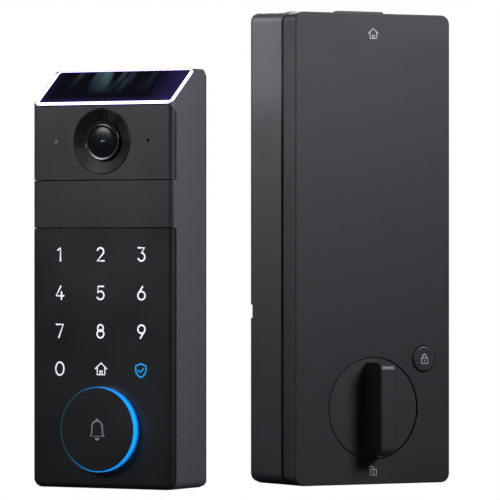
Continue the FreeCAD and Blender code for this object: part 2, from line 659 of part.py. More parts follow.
def middle_panel():
    """Plain band between the camera and the keypad; its sensor looks through it."""
    body = new_body("middle_panel", EXTERIOR)
    low = LOWER_SEAM + SEAM / 2
    deep = 2 * PANEL_RETURN
    sketch = sketch_on(body, "XY_Plane", low)
    draw_rounded(sketch, E_WIDTH, deep, EDGE_ROUND, 0.0, -(E_DEPTH - deep / 2), True)
    pad = body.newObject("PartDesign::Pad", "middle_panel_block")
    pad.Profile = sketch
    bind(pad, "Length", UPPER_SEAM - LOWER_SEAM - SEAM)
    doc.recompute()
    back = BAND_D + REST_GAP
    take_side(body, [(back, 0.0), (back, E_HEIGHT), (0.0, E_HEIGHT), (0.0, 0.0)], E_WIDTH + 2)


def keypad_panel():
    """Touch panel with the doorbell hole; its front edge is rounded down both sides and the bottom."""
    body = new_body("keypad_panel", EXTERIOR)
    height = LOWER_SEAM - SEAM / 2
    back = PANEL_D + REST_GAP
    deep = PANEL_RETURN - REST_GAP
    sketch = sketch_on(body, "XZ_Plane", back)
    draw_rounded(sketch, E_WIDTH, height, E_CORNER, 0.0, height / 2, True)
    pad = body.newObject("PartDesign::Pad", "keypad_panel_block")
    pad.Profile = sketch
    bind(pad, "Length", deep)
    doc.recompute()
    soften(body, "Fillet", EDGE_ROUND, lambda e: at_depth(e, E_DEPTH) and not near(e.BoundBox.ZMin, height))
    take(body, block(E_WIDTH - 2 * PANEL_RIM, height - BELL_Z - RING_R - 2 * PANEL_RIM, 0.0,
                     BELL_Z + RING_R + PANEL_RIM), SKIN_D, PANEL_RETURN)
    take(body, (RING_R + REST_GAP, 0.0, BELL_Z), E_DEPTH + 1, PANEL_RETURN + 2)


# ---- exterior unit: camera and sensors -------------------------------------------------------------
def camera_bezel():
    """Black ring with a shallow cone that leads to the lens."""
    body = new_body("camera_bezel", EXTERIOR)
    inner = BARREL_R + REST_GAP
    neck = BEZEL_R - BEZEL_NECK
    flange = E_DEPTH - BEZEL_FLANGE + REST_GAP / 3
    turned(body, [(inner, E_DEPTH - 2), (neck, E_DEPTH - 2), (neck, flange), (BEZEL_R, flange), (BEZEL_R, E_DEPTH),
                  (BEZEL_R - 0.5, E_DEPTH + REST_GAP), (inner + 0.9, E_DEPTH - 1), (inner, E_DEPTH - 1)],
           0.0, CAMERA_Z)


def lens_barrel():
    body = new_body("lens_barrel", EXTERIOR)
    front = E_DEPTH - REST_GAP
    inner = LENS_R + REST_GAP
    turned(body, [(inner, front - BARREL_LONG), (BARREL_R, front - BARREL_LONG), (BARREL_R, front),
                  (BARREL_R - 0.4, front + 0.3), (inner, front)], 0.0, CAMERA_Z)


def lens_cover():
    """Clear dome in front of the lens."""
    body = new_body("lens_cover", EXTERIOR)
    rim = E_DEPTH - 1.2
    top = E_DEPTH + LENS_RISE
    turned(body, [(0.0, rim), (LENS_R, rim), (LENS_R, E_DEPTH), (LENS_R * 0.8, top - 0.2),
                  (LENS_R * 0.45, top), (0.0, top)], 0.0, CAMERA_Z)


def lens_element():
    """Glass lens inside the barrel."""
    body = new_body("lens_element", EXTERIOR)
    back = E_DEPTH - BARREL_LONG / 2
    turned(body, [(0.0, back), (LENS_R * 0.6, back), (LENS_R, back + 1), (LENS_R, back + 2),
                  (LENS_R * 0.6, back + 3), (0.0, back + 3.4)], 0.0, CAMERA_Z)


def camera_board():
    body = new_body("camera_board", EXTERIOR)
    back = E_DEPTH - REST_GAP - BARREL_LONG - BOARD
    side = 3 * BARREL_R
    add(body, (side, side, 1, 0.0, CAMERA_Z), back, BOARD)
    add(body, block(BARREL_R, BARREL_R, 0.0, CAMERA_Z - BARREL_R / 2), back + BOARD, 1.0)


def light_sensor_window():
    body = new_body("light_sensor_window", EXTERIOR)
    add(body, (DOT_R, -EYE_OFFSET, CAMERA_Z), SKIN_D, PANEL_SKIN)


def microphone():
    body = new_body("microphone", EXTERIOR)
    turned(body, [(0.0, SKIN_D - 2.6), (MIC_R, SKIN_D - 2.6), (MIC_R, SKIN_D - REST_GAP),
                  (0.0, SKIN_D - REST_GAP)], EYE_OFFSET, CAMERA_Z)


def presence_sensor():
    """Radar module behind the plain band."""
    body = new_body("presence_sensor", EXTERIOR)
    middle = (LOWER_SEAM + UPPER_SEAM) / 2
    add(body, (5 * MIC_R, 4 * MIC_R, 1, 0.0, middle), PANEL_D - 4, 3.0)
    add(body, block(3 * MIC_R, 2 * MIC_R, 0.0, middle - MIC_R), PANEL_D - 1, 0.8)


# ---- exterior unit: slanted top --------------------------------------------------------------------
def slanted(sunk):
    """Where a sketch on the slant starts, sunk below its surface: depth, height and tilt."""
    depth = E_DEPTH - sunk * sine(SLOPE)
    height = CREASE - sunk * cosine(SLOPE)
    return depth, height, SLOPE - 90


def slant_frame(body, sunk, thickness, outer_gap, inner_gap):
    """A frame that follows the edge of the slant, with its underside sunk below the surface."""
    depth, height, tilt = slanted(sunk)
    width = CAVITY_W - 2 * outer_gap
    long = SLANT_OPEN - 2 * outer_gap
    add(body, (width, long, LIGHT_CORNER, 0.0, SLANT_OPEN / 2), depth, thickness, tilt, height)
    front_depth, front_height, tilt = slanted(sunk - thickness - 1)
    bar = LIGHT_BAR + inner_gap
    take(body, (width - 2 * bar, long - 2 * bar, LIGHT_CORNER / 2, 0.0, SLANT_OPEN / 2),
         front_depth, thickness + 2, tilt, front_height)


def light_guide():
    """Milky frame that glows round the palm window."""
    slant_frame(new_body("light_guide", EXTERIOR), LIGHT_THICK, LIGHT_THICK, REST_GAP, 0.0)


def led_board():
    sunk = LIGHT_THICK + REST_GAP + LED_BOARD
    slant_frame(new_body("led_board", EXTERIOR), sunk, LED_BOARD, REST_GAP, 2 * REST_GAP)


def palm_window():
    """Dark glass over the palm reader."""
    body = new_body("palm_window", EXTERIOR)
    depth, height, tilt = slanted(WINDOW_THICK)
    edge = LIGHT_BAR + 2 * REST_GAP
    add(body, (CAVITY_W - 2 * edge, SLANT_OPEN - 2 * edge, LIGHT_CORNER / 2, 0.0, SLANT_OPEN / 2),
        depth, WINDOW_THICK, tilt, height)


def palm_sensor_module():
    """Infrared camera and emitters under the palm window."""
    body = new_body("palm_sensor_module", EXTERIOR)
    sunk = WINDOW_THICK + 7
    depth, height, tilt = slanted(sunk)
    wide, high = CAVITY_W / 2, SLANT_OPEN / 2
    middle = SLANT_OPEN / 2
    add(body, (wide, high, 1, 0.0, middle), depth, 4.0, tilt, height)
    top_depth, top_height, tilt = slanted(sunk - 4)
    for side in (-1, 0, 1):
        add(body, (high / 4, side * wide / 3, middle), top_depth, 1.5, tilt, top_height)


# ---- exterior unit: boards and sound ---------------------------------------------------------------
def keypad_board():
    body = new_body("keypad_board", EXTERIOR)
    middle = (KEY_BOARD_TOP + KEY_BOARD_LOW) / 2
    long = KEY_BOARD_TOP - KEY_BOARD_LOW
    add(body, (KEY_BOARD_W, long, 1, 0.0, middle), SKIN_D - BOARD, BOARD - REST_GAP)


def exterior_main_board():
    body = new_body("exterior_main_board", EXTERIOR)
    middle = E_BOARD_LOW + E_BOARD_L / 2
    top = E_BOARD_D + BOARD
    add(body, (E_BOARD_W, E_BOARD_L, 2, 0.0, middle), E_BOARD_D, BOARD)
    add(body, block(14, 14.0, 0.0, middle + 4), top, 1.4)
    add(body, block(9, 7.0, E_BOARD_W / 4, middle + 10), top, 1.2)
    add(body, block(6, 20.0, -E_BOARD_W / 3, middle - 10), top, 2.4)


def harness_socket():
    """Socket on the rear of the board, behind the cable opening."""
    body = new_body("harness_socket", EXTERIOR)
    wide = 1.4 * CABLE_R
    back = E_GASKET + E_BACK
    add(body, block(wide, CABLE_R, 0.0, BORE_Z - CABLE_R / 2), back, E_BOARD_D - back)
    take(body, block(wide - 2, CABLE_R - 2, 0.0, BORE_Z - CABLE_R / 2 + 1), E_BOARD_D - 0.8, E_BOARD_D)


def speaker():
    body = new_body("speaker", EXTERIOR)
    back = E_BOARD_D + BOARD + 4
    front = back + SPEAKER_L
    turned(body, [(0.0, back), (SPEAKER_R * 0.6, back), (SPEAKER_R * 0.6, back + 2), (SPEAKER_R, back + 2.6),
                  (SPEAKER_R, front), (SPEAKER_R * 0.85, front), (SPEAKER_R * 0.3, front - 1.5),
                  (0.0, front - 1)], 0.0, LOWER_SEAM / 2)


def usb_port():
    """Emergency power socket in the bottom wall."""
    body = new_body("usb_port", EXTERIOR)
    sketch = sketch_on(body, "XY_Plane", 0.2)
    draw_polygon(sketch, [(x, -depth) for x, depth in usb_outline(0.0)])
    pad = body.newObject("PartDesign::Pad", "usb_shell")
    pad.Profile = sketch
    bind(pad, "Length", USB_L)
    doc.recompute()
    take_down(body, usb_outline(-2.5 * REST_GAP), USB_L - 1, USB_L)


# ---- exterior unit: doorbell -----------------------------------------------------------------------
def doorbell_light_ring():
    """Clear sleeve round the raised button that carries the light."""
    body = new_body("doorbell_light_ring", EXTERIOR)
    back = PANEL_D - 1
    add(body, (RING_R, 0.0, BELL_Z), back, BELL_FRONT - REST_GAP - back)
    take(body, (RING_R - RING_WALL, 0.0, BELL_Z), BELL_FRONT + 1, BELL_FRONT)


def doorbell_button():
    """Round cap with a stem that presses the switch."""
    body = new_body("doorbell_button", EXTERIOR)
    radius = RING_R - RING_WALL - RUN_FIT
    back = BELL_FRONT - BELL_CAP
    turned(body, [(0.0, back - STEM_LONG), (STEM_R, back - STEM_LONG), (STEM_R, back), (radius, back),
                  (radius, BELL_FRONT - 0.5), (radius - 0.5, BELL_FRONT), (0.0, BELL_FRONT)], 0.0, BELL_Z)


def doorbell_switch():
    body = new_body("doorbell_switch", EXTERIOR)
    top = BELL_FRONT - BELL_CAP - STEM_LONG - BELL_TRAVEL - REST_GAP
    side = 4 * STEM_R
    add(body, (side, side, 1, 0.0, BELL_Z), top - 4, 3.2)
    add(body, (STEM_R, 0.0, BELL_Z), top - 0.8, 0.8)


# ---- interior unit: case ---------------------------------------------------------------------------
def interior_rear_width():
    return I_WIDTH + 2 * (HOUSING_LIP + DRAFT_SIDE)


def interior_rear_height():
    return I_HEIGHT + HOUSING_LIP + DRAFT_TOP


def plate_screw_places():
    across = I_WIDTH / 2 - I_CORNER - 2
    return [(side * across, z) for side in (-1, 1) for z in (3 * I_CORNER, I_HEIGHT - 3 * I_CORNER)]


def mounting_plate():
    """Black plate that is bolted to the door; the housing screws onto it."""
    body = new_body("mounting_plate", INTERIOR)
    width = interior_rear_width() - 2 * I_PLATE_INSET
    height = interior_rear_height() - 2 * I_PLATE_INSET
    middle = interior_rear_height() / 2
    add(body, (width, height, I_CORNER, 0.0, middle), 0.0, I_PLATE)
    take(body, (REAR_HOLE, 0.0, BORE_Z), I_PLATE + 1, I_PLATE + 2)
    for side in (-1, 1):
        take(body, (THREAD_R + 0.5, side * BOLT_SPACING / 2, BORE_Z), I_PLATE + 1, I_PLATE + 2)
    for x, z in plate_screw_places():
        take(body, (SCREW_R + REST_GAP / 2, x, z), I_PLATE + 1, I_PLATE + 2)
        take(body, (SCREW_HEAD_R + REST_GAP, x, z), I_PLATE / 2, I_PLATE)
    take(body, block(2 * I_PLATE, 6.0, -width / 2, 74), I_PLATE / 2, I_PLATE)


def interior_housing():
    """Drafted shell, open at the front; its bottom is flat so that it stands."""
    body = new_body("interior_housing", INTERIOR)
    front_width, front_height = I_WIDTH + 2 * HOUSING_LIP, I_HEIGHT + HOUSING_LIP
    chamfer = HOUSING_CHAMFER
    sections = []
    for depth, width, height, inset in (
            (I_PLATE, interior_rear_width(), interior_rear_height(), 0 * chamfer),
            (HOUSING_FRONT - chamfer, front_width, front_height, 0 * chamfer),
            (HOUSING_FRONT, front_width, front_height, chamfer)):
        sketch = sketch_on(body, "XZ_Plane", depth)
        draw_rounded(sketch, width - 2 * inset, height - 2 * inset, I_CORNER + HOUSING_LIP - inset, 0.0,
                     height / 2)
        sections.append(sketch)
    loft = body.newObject("PartDesign::AdditiveLoft", "housing_loft")
    loft.Profile = sections[0]
    loft.Sections = sections[1:]
    loft.Ruled = True
    doc.recompute()
    inner = I_PLATE + I_WALL
    take(body, (front_width - 2 * I_WALL, front_height - 2 * I_WALL, I_CORNER - I_WALL, 0.0, FRAME_Z), HOUSING_FRONT + 1,
         HOUSING_FRONT + 1 - inner)
    take(body, (REAR_HOLE, 0.0, BORE_Z), inner + 1, I_WALL + 2)
    for side in (-1, 1):
        take(body, (2.2 * THREAD_R, side * BOLT_SPACING / 2, BORE_Z), inner + 1, I_WALL + 2)
    for x, z in plate_screw_places():
        take(body, (SCREW_R + REST_GAP / 2, x, z), inner + 1, I_WALL + 2)
    slot = TAB_W + 4 * REST_GAP
    take(body, block(slot, 4 * I_WALL, 0.0, I_HEIGHT - 2 * I_WALL), HOUSING_FRONT + 1,
         TAB_T + 1 + 4 * REST_GAP)


def interior_frame():
    """Inner frame: battery bay above, deck over the gears below."""
    body = new_body("interior_frame", INTERIOR)
    deep = FRAME_FRONT - FRAME_D
    inner = FRAME_W - 2 * FRAME_WALL
    floor = FRAME_Z - FRAME_H / 2 + FRAME_WALL
    add(body, (FRAME_W, FRAME_H, I_CORNER - I_WALL, 0.0, FRAME_Z), FRAME_D, deep)
    take(body, block(inner, BAY_FLOOR - FRAME_WALL - floor, 0.0, floor), DECK_BACK, deep)
    take(body, block(inner, BAY_FLOOR - FRAME_WALL - floor, 0.0, floor), FRAME_FRONT + 1,
         FRAME_FRONT + 1 - DECK_FRONT)
    take(body, block(inner, BAY_TOP - BAY_FLOOR, 0.0, BAY_FLOOR), FRAME_FRONT + 1, deep + 2)
    take(body, (BUSH_R + REST_GAP / 3, 0.0, BORE_Z), FRAME_FRONT + 1, FRAME_FRONT)
    notch = TAB_W + 7
    take(body, block(notch, FRAME_TOP - BAY_TOP, 0.0, BAY_TOP + SPRING_SEAT), FRAME_FRONT + 1,
         FRAME_FRONT + 1 - (HOUSING_FRONT - TAB_T - 1))


def front_cover():
    """Large flat cover that pulls off for the battery."""
    body = new_body("front_cover", INTERIOR)
    middle = I_HEIGHT / 2
    add(body, (I_WIDTH, I_HEIGHT, I_CORNER, 0.0, middle), COVER_D, I_DEPTH - COVER_D)
    soften(body, "Fillet", COVER_EDGE, lambda e: at_depth(e, I_DEPTH))
    take(body, (I_WIDTH - 2 * I_WALL, I_HEIGHT - 2 * I_WALL, I_CORNER - I_WALL, 0.0, middle),
         SKIN_BACK, SKIN_BACK)
    take(body, (KNOB_HOLE, 0.0, BORE_Z), I_DEPTH + 1, COVER_SKIN + 2)
    take(body, (BUTTON_R + FREE_GAP, BUTTON_X, BUTTON_Z), I_DEPTH + 1, COVER_SKIN + 2)


def battery_pack():
    body = new_body("battery_pack", INTERIOR)
    middle = (BAY_FLOOR + BAY_TOP) / 2
    front = BATTERY_D + BATTERY_T
    add(body, (BATTERY_W, BATTERY_L, 3, 0.0, middle), BATTERY_D, BATTERY_T)
    soften(body, "Fillet", 1.5, lambda e: at_depth(e, front))
    take(body, (BATTERY_W / 3, 8, 2, 0.0, middle + BATTERY_L / 2 - 12),
         front + 1, 3.0)


def battery_contacts():
    """Two sprung contacts on the floor of the battery bay."""
    strips = []
    for side in (-1, 1):
        strip = doc.addObject("Part::Box", "Contact")
        strip.Length = 4
        strip.Width = 5
        bind(strip, "Height", BATTERY_END - REST_GAP)
        strip.setExpression("Placement.Base.x", written(side * BATTERY_W / 5 - 2))
        strip.setExpression("Placement.Base.y", written(-(FRAME_D + 9)))
        strip.setExpression("Placement.Base.z", written(BAY_FLOOR))
        strips.append(strip)
    keep(joined("battery_contacts", "Part::Compound", strips), "battery_contacts", INTERIOR)


# ---- interior unit: thumbturn ----------------------------------------------------------------------
def thumbturn_knob():
    """Flush disc with an upright grip bar."""
    body = new_body("thumbturn_knob", INTERIOR)
    turned(body, [(0.0, KNOB_BACK), (KNOB_R, KNOB_BACK), (KNOB_R, KNOB_FRONT - 0.3),
                  (KNOB_R - 0.3, KNOB_FRONT), (0.0, KNOB_FRONT)], 0.0, BORE_Z)
    top = I_DEPTH + BAR_RISE
    low = BORE_Z - BAR_L / 2
    add(body, block(BAR_W, BAR_L, 0.0, low), KNOB_FRONT - 1, top - KNOB_FRONT + 1)
    soften(body, "Fillet", BAR_ROUND, lambda e: runs_along(e, "x") and at_depth(e, top))
    soften(body, "Fillet", BAR_EDGE, lambda e: -e.BoundBox.YMax > number(KNOB_FRONT + 2)
           and near(e.BoundBox.XMin, e.BoundBox.XMax) and near(abs(e.BoundBox.XMin), BAR_W / 2))


def spindle():
    body = new_body("spindle", INTERIOR)
    add(body, (SPINDLE_R, 0.0, BORE_Z), SPINDLE_D, KNOB_BACK - SPINDLE_D)
    take(body, block(TAIL_W + REST_GAP, TAIL_T + REST_GAP, 0.0, BORE_Z - TAIL_T / 2 - REST_GAP / 2),
         SPINDLE_D + 8, 9.0)


def tailpiece():
    """Flat blade that passes through the door and turns the bolt."""
    body = new_body("tailpiece", INTERIOR)
    add(body, block(TAIL_W, TAIL_T, 0.0, BORE_Z - TAIL_T / 2), -TAIL_L, TAIL_L + SPINDLE_D + 8)
    soften(body, "Chamfer", TAIL_T / 4, lambda e: at_depth(e, -TAIL_L))


def spindle_bush():
    body = new_body("spindle_bush", INTERIOR)
    inner = SPINDLE_R + RUN_FIT
    turned(body, [(inner, DECK_BACK), (BUSH_R, DECK_BACK), (BUSH_R, DECK_FRONT), (BUSH_R + 2, DECK_FRONT),
                  (BUSH_R + 2, DECK_FRONT + 1), (inner, DECK_FRONT + 1)], 0.0, BORE_Z)


# ---- interior unit: gears --------------------------------------------------------------------------
def tooth_outline(teeth, tooth_at):
    """The corners of a spur gear with involute flanks, one tooth centred at the angle tooth_at."""
    module = number(GEAR_MODULE)
    pitch_r = teeth * module / 2
    base_r = pitch_r * math.cos(math.radians(20))
    root_r, tip_r = pitch_r - 1.25 * module, pitch_r + module
    half_pitch = math.pi / (2 * teeth) - number(GEAR_LASH) / (4 * pitch_r)

    def flank_angle(radius):
        pressure = math.acos(min(1.0, base_r / radius))
        nominal = math.acos(base_r / pitch_r)
        return half_pitch + (math.tan(nominal) - nominal) - (math.tan(pressure) - pressure)

    steps = 4
    start_r = max(root_r, base_r)
    radii = [start_r + (tip_r - start_r) * step / steps for step in range(steps + 1)]
    if root_r < base_r:
        radii = [root_r] + radii
    corners = []
    for tooth in range(teeth):
        middle = tooth_at + 2 * math.pi * tooth / teeth
        corners += [(r, middle - flank_angle(max(r, base_r))) for r in radii]
        corners += [(r, middle + flank_angle(max(r, base_r))) for r in reversed(radii)]
    return [(r * math.cos(angle), r * math.sin(angle)) for r, angle in corners]


def gear_solid(teeth, tooth_at, x, z, depth, face):
    """A toothed disc that runs forwards from depth, centred at x, z."""
    x, z, depth = number(x), number(z), number(depth)
    points = [Vector(x + px, -depth, z + pz) for px, pz in tooth_outline(teeth, tooth_at)]
    wire = Part.makePolygon(points + points[:1])
    return Part.Face(wire).extrude(Vector(0, -number(face), 0))


def shaft_solid(radius, x, z, depth, length):
    start = Vector(number(x), -number(depth), number(z))
    return Part.makeCylinder(number(radius), number(length), start, Vector(0, -1, 0))


def keep_shape(label, shape, unit):
    """Keep a toothed or coiled shape as a sub-part; its sizes come from the sheet's values."""
    feature = doc.addObject("Part::Feature", label)
    feature.Shape = shape
    keep(feature, label, unit)


def spindle_gear():
    towards = math.radians(number(IDLER_ANGLE))
    gear = gear_solid(SPINDLE_TEETH, towards, 0, BORE_Z, LAYER_A, GEAR_FACE)
    bore = shaft_solid(SPINDLE_R + REST_GAP / 5, 0, BORE_Z, LAYER_A - 1, GEAR_FACE + 2)
    keep_shape("spindle_gear", gear.cut(bore), INTERIOR)


def idler_gear():
    """Small and large wheel in one moulding, free on its pin."""
    arriving = math.radians(number(IDLER_ANGLE)) + math.pi + math.pi / IDLER_SMALL_TEETH
    leaving = math.radians(number(MOTOR_ANGLE))
    small = gear_solid(IDLER_SMALL_TEETH, arriving, IDLER_X, IDLER_Z, LAYER_A, LAYER_B - LAYER_A)
    large = gear_solid(IDLER_LARGE_TEETH, leaving, IDLER_X, IDLER_Z, LAYER_B, GEAR_FACE)
    bore = shaft_solid(PIN_R + RUN_FIT, IDLER_X, IDLER_Z, LAYER_A - 1, LAYER_B - LAYER_A + GEAR_FACE + 2)
    keep_shape("idler_gear", small.fuse(large).cut(bore), INTERIOR)


def motor_pinion():
    """Pinion fixed on the motor's shaft."""
    meshing = math.radians(number(MOTOR_ANGLE)) + math.pi + math.pi / PINION_TEETH
    gear = gear_solid(PINION_TEETH, meshing, MOTOR_X, MOTOR_Z, LAYER_B, GEAR_FACE)
    start = MOTOR_D + MOTOR_L - 2
    shaft = shaft_solid(MOTOR_SHAFT, MOTOR_X, MOTOR_Z, start, LAYER_B + GEAR_FACE + 0.5 - start)
    keep_shape("motor_pinion", gear.fuse(shaft), INTERIOR)


def idler_pin():
    body = new_body("idler_pin", INTERIOR)
    add(body, (PIN_R, IDLER_X, IDLER_Z), PLATE_D, DECK_BACK - PLATE_D)


def gear_plate():
    """Plate that holds the motor, the idler pin and the rear of the spindle."""
    body = new_body("gear_plate", INTERIOR)
    low = BORE_Z - 3 * SPINDLE_R
    high = MOTOR_Z + MOTOR_R + 4
    wide = 2 * (MOTOR_R + 4 - MOTOR_X)
    add(body, (wide, high - low, 2, 0.0, (low + high) / 2), PLATE_D, GEAR_PLATE)
    take(body, (SPINDLE_R + RUN_FIT, 0.0, BORE_Z), PLATE_D + GEAR_PLATE + 1, GEAR_PLATE + 2)
    take(body, (PIN_R, IDLER_X, IDLER_Z), PLATE_D + GEAR_PLATE + 1, GEAR_PLATE + 2)
    take(body, (MOTOR_R + REST_GAP, MOTOR_X, MOTOR_Z), PLATE_D + GEAR_PLATE + 1, GEAR_PLATE + 2)


def motor():
    body = new_body("motor", INTERIOR)
    front = MOTOR_D + MOTOR_L
    turned(body, [(MOTOR_SHAFT + RUN_FIT, front - 3), (MOTOR_SHAFT + RUN_FIT, front + 0.6),
                  (MOTOR_R / 3, front + 0.6), (MOTOR_R / 3, front), (MOTOR_R - 0.6, front),
                  (MOTOR_R, front - 0.6), (MOTOR_R, MOTOR_D), (0.0, MOTOR_D), (0.0, front - 3)],
           MOTOR_X, MOTOR_Z)


# ---- interior unit: boards -------------------------------------------------------------------------
def interior_board_depth():
    return I_PLATE + I_WALL + 0.6


def interior_main_board():
    body = new_body("interior_main_board", INTERIOR)
    low = 10
    depth = interior_board_depth()
    wide = FRAME_W - 10
    add(body, (wide, BAY_FLOOR - 14, 2, 0.0, low + (BAY_FLOOR - 14) / 2), depth, BOARD)
    take(body, (REAR_HOLE + 1, 0.0, BORE_Z), depth + BOARD + 1, BOARD + 2)
    add(body, block(8, 8.0, wide / 3, low + 4), depth + BOARD, 1.2)


def buzzer():
    body = new_body("buzzer", INTERIOR)
    back = interior_board_depth() + BOARD
    turned(body, [(0.0, back), (5.0, back), (5.0, back + 2.4), (1.0, back + 2.4), (0.0, back + 2.0)],
           FRAME_W / 2 - 13, BAY_FLOOR - 20)


def interior_socket():
    """Socket for the cable from the exterior unit."""
    body = new_body("interior_socket", INTERIOR)
    back = interior_board_depth() + BOARD
    place_x, low = -FRAME_W / 2 + 14, BAY_FLOOR - 22
    add(body, block(10, 7.0, place_x, low), back, 2.6)
    take(body, block(8, 5.0, place_x, low + 1), back + 3.6, 2.8)


# ---- interior unit: buttons ------------------------------------------------------------------------
def lock_button():
    body = new_body("lock_button", INTERIOR)
    front = I_DEPTH + BUTTON_RISE
    turned(body, [(0.0, front - BUTTON_CAP), (BUTTON_R, front - BUTTON_CAP), (BUTTON_R, front - 0.7),
                  (BUTTON_R - 0.2, front - 0.25), (BUTTON_R - 0.7, front), (0.0, front)], BUTTON_X, BUTTON_Z)


def lock_switch():
    body = new_body("lock_switch", INTERIOR)
    top = I_DEPTH + BUTTON_RISE - BUTTON_CAP - BUTTON_TRAVEL - REST_GAP
    side = 1.6 * BUTTON_R
    low = BUTTON_Z - side / 2
    add(body, block(side, side, BUTTON_X, low), DECK_FRONT, top - DECK_FRONT - 1)
    add(body, (BUTTON_R / 3, BUTTON_X, BUTTON_Z), top - 1, 1.0)


def tab_depth():
    return HOUSING_FRONT - TAB_T - 2 * REST_GAP


def tab_flange_height():
    return FRAME_TOP - 3.5


def release_tab():
    """Sprung catch on top that frees the cover when it is pressed."""
    body = new_body("release_tab", INTERIOR)
    high = I_HEIGHT + TAB_RISE
    low = tab_flange_height()
    bevel = TAB_T / 2
    half = TAB_W / 2
    add(body, [(-half, low), (half, low), (half, high - bevel), (half - bevel, high), (bevel - half, high),
               (-half, high - bevel)], tab_depth(), TAB_T)
    add(body, block(TAB_W + 4, TAB_FLANGE, 0.0, low - TAB_FLANGE), tab_depth(), TAB_T)


def tab_spring():
    """Arched leaf spring under the release tab."""
    body = new_body("tab_spring", INTERIOR)
    low = BAY_TOP + SPRING_SEAT
    top = tab_flange_height() - TAB_FLANGE
    half = TAB_W / 2
    rest = TAB_W / 8
    add(body, [(-half, low), (-rest, top - SPRING_T), (rest, top - SPRING_T), (half, low), (half, low + SPRING_T),
               (rest, top), (-rest, top), (-half, low + SPRING_T)], tab_depth() + TAB_T / 4, TAB_T / 2)


# ---- building, centring and writing ----------------------------------------------------------------
def build():
    sheet.recompute()
    doc.recompute()
    exterior_housing()
    exterior_gasket()
    exterior_back_plate()
    mounting_posts()
    case_screws("back_plate_screws", EXTERIOR, case_screw_places(), 2 * REST_GAP, E_GASKET - 2 * REST_GAP)
    camera_panel()
    middle_panel()
    keypad_panel()
    camera_bezel()
    lens_barrel()
    lens_cover()
    lens_element()
    camera_board()
    light_sensor_window()
    microphone()
    presence_sensor()
    light_guide()
    led_board()
    palm_window()
    palm_sensor_module()
    keypad_board()
    exterior_main_board()
    harness_socket()
    speaker()
    usb_port()
    doorbell_light_ring()
    doorbell_button()
    doorbell_switch()
    mounting_plate()
    interior_housing()
    interior_frame()
    front_cover()
    battery_pack()
    battery_contacts()
    case_screws("plate_screws", INTERIOR, plate_screw_places(), REST_GAP, I_PLATE / 2 - REST_GAP)
    thumbturn_knob()
    spindle()
    tailpiece()
    spindle_bush()
    spindle_gear()
    idler_gear()
    motor_pinion()
    idler_pin()
    gear_plate()
    motor()
    interior_main_board()
    buzzer()
    interior_socket()
    lock_button()
    lock_switch()
    release_tab()
    tab_spring()
    doc.recompute()


def centre_on_origin():
    """Move both units so that the origin is under the middle of the whole object."""
    whole = Part.makeCompound([part.Shape for part in subparts]).optimalBoundingBox(False)
    sheet.set(sheet.getCellFromAlias("shift_x"), str(round(-whole.Center.x, 4)))
    sheet.set(sheet.getCellFromAlias("shift_y"), str(round(-whole.Center.y, 4)))
    doc.recompute()


def check_and_write():
    for thing in doc.Objects:
        if "Invalid" in thing.State or "Error" in thing.State:
            raise ValueError(thing.Name + " failed to build")
    os.makedirs("parts", exist_ok=True)
    for part in subparts:
        if part.Shape.isNull() or not part.Shape.isValid() or not part.Shape.Solids:
            raise ValueError(part.Label + " has no valid solid")
    for part in subparts:
        part.Shape.exportStep(f"parts/{part.Label}.step")


build()
centre_on_origin()
check_and_write()
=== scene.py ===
import json
from math import cos, pi, radians, sin

import bpy
from mathutils import Matrix, Vector


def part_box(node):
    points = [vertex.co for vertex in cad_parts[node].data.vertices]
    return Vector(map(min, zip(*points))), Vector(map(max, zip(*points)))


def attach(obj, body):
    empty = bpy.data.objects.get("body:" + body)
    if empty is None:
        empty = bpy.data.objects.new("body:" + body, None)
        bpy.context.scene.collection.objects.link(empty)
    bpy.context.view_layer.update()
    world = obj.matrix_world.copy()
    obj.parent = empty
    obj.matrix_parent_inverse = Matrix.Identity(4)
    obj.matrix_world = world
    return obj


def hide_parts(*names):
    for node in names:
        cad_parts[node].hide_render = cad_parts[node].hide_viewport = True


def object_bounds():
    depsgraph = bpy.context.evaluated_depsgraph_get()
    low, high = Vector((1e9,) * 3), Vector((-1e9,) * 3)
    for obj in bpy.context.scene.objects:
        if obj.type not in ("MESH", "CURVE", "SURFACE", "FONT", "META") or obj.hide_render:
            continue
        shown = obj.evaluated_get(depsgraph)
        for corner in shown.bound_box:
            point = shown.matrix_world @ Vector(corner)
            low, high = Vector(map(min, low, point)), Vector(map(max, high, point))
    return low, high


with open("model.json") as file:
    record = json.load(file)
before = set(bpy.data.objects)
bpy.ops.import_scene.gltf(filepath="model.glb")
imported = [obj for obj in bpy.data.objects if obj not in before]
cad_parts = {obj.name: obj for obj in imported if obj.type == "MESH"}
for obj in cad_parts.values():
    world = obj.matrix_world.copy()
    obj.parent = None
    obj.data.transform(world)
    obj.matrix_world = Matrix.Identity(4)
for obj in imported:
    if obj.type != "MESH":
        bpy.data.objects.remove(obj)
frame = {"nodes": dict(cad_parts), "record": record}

cad_box = [list(corner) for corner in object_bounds()]
MM = 0.001

# ---- exterior housing ----
# Die-cast zinc shell of the outdoor unit, powder coated in a satin dark grey.
# It stands turned to the left on its own foot; the panels clip into its front.
mounts = {mount["name"]: mount for mount in frame["record"]["mounts"]}


def unit_frame(foot, foot_depth):
    """Axes of a unit: x to its right, y towards the door, z up, from the foot's place on the unit."""
    rear = Vector(mounts[foot + "_door_face"]["axis"])
    origin = Vector(mounts[foot + "_foot"]["pos_m"]) + rear * foot_depth * MM
    across = rear.cross(Vector((0, 0, 1)))
    place = Matrix((across, rear, (0, 0, 1))).transposed().to_4x4()
    place.translation = origin
    return place


EXTERIOR_FOOT = 22
exterior = unit_frame("exterior", EXTERIOR_FOOT)


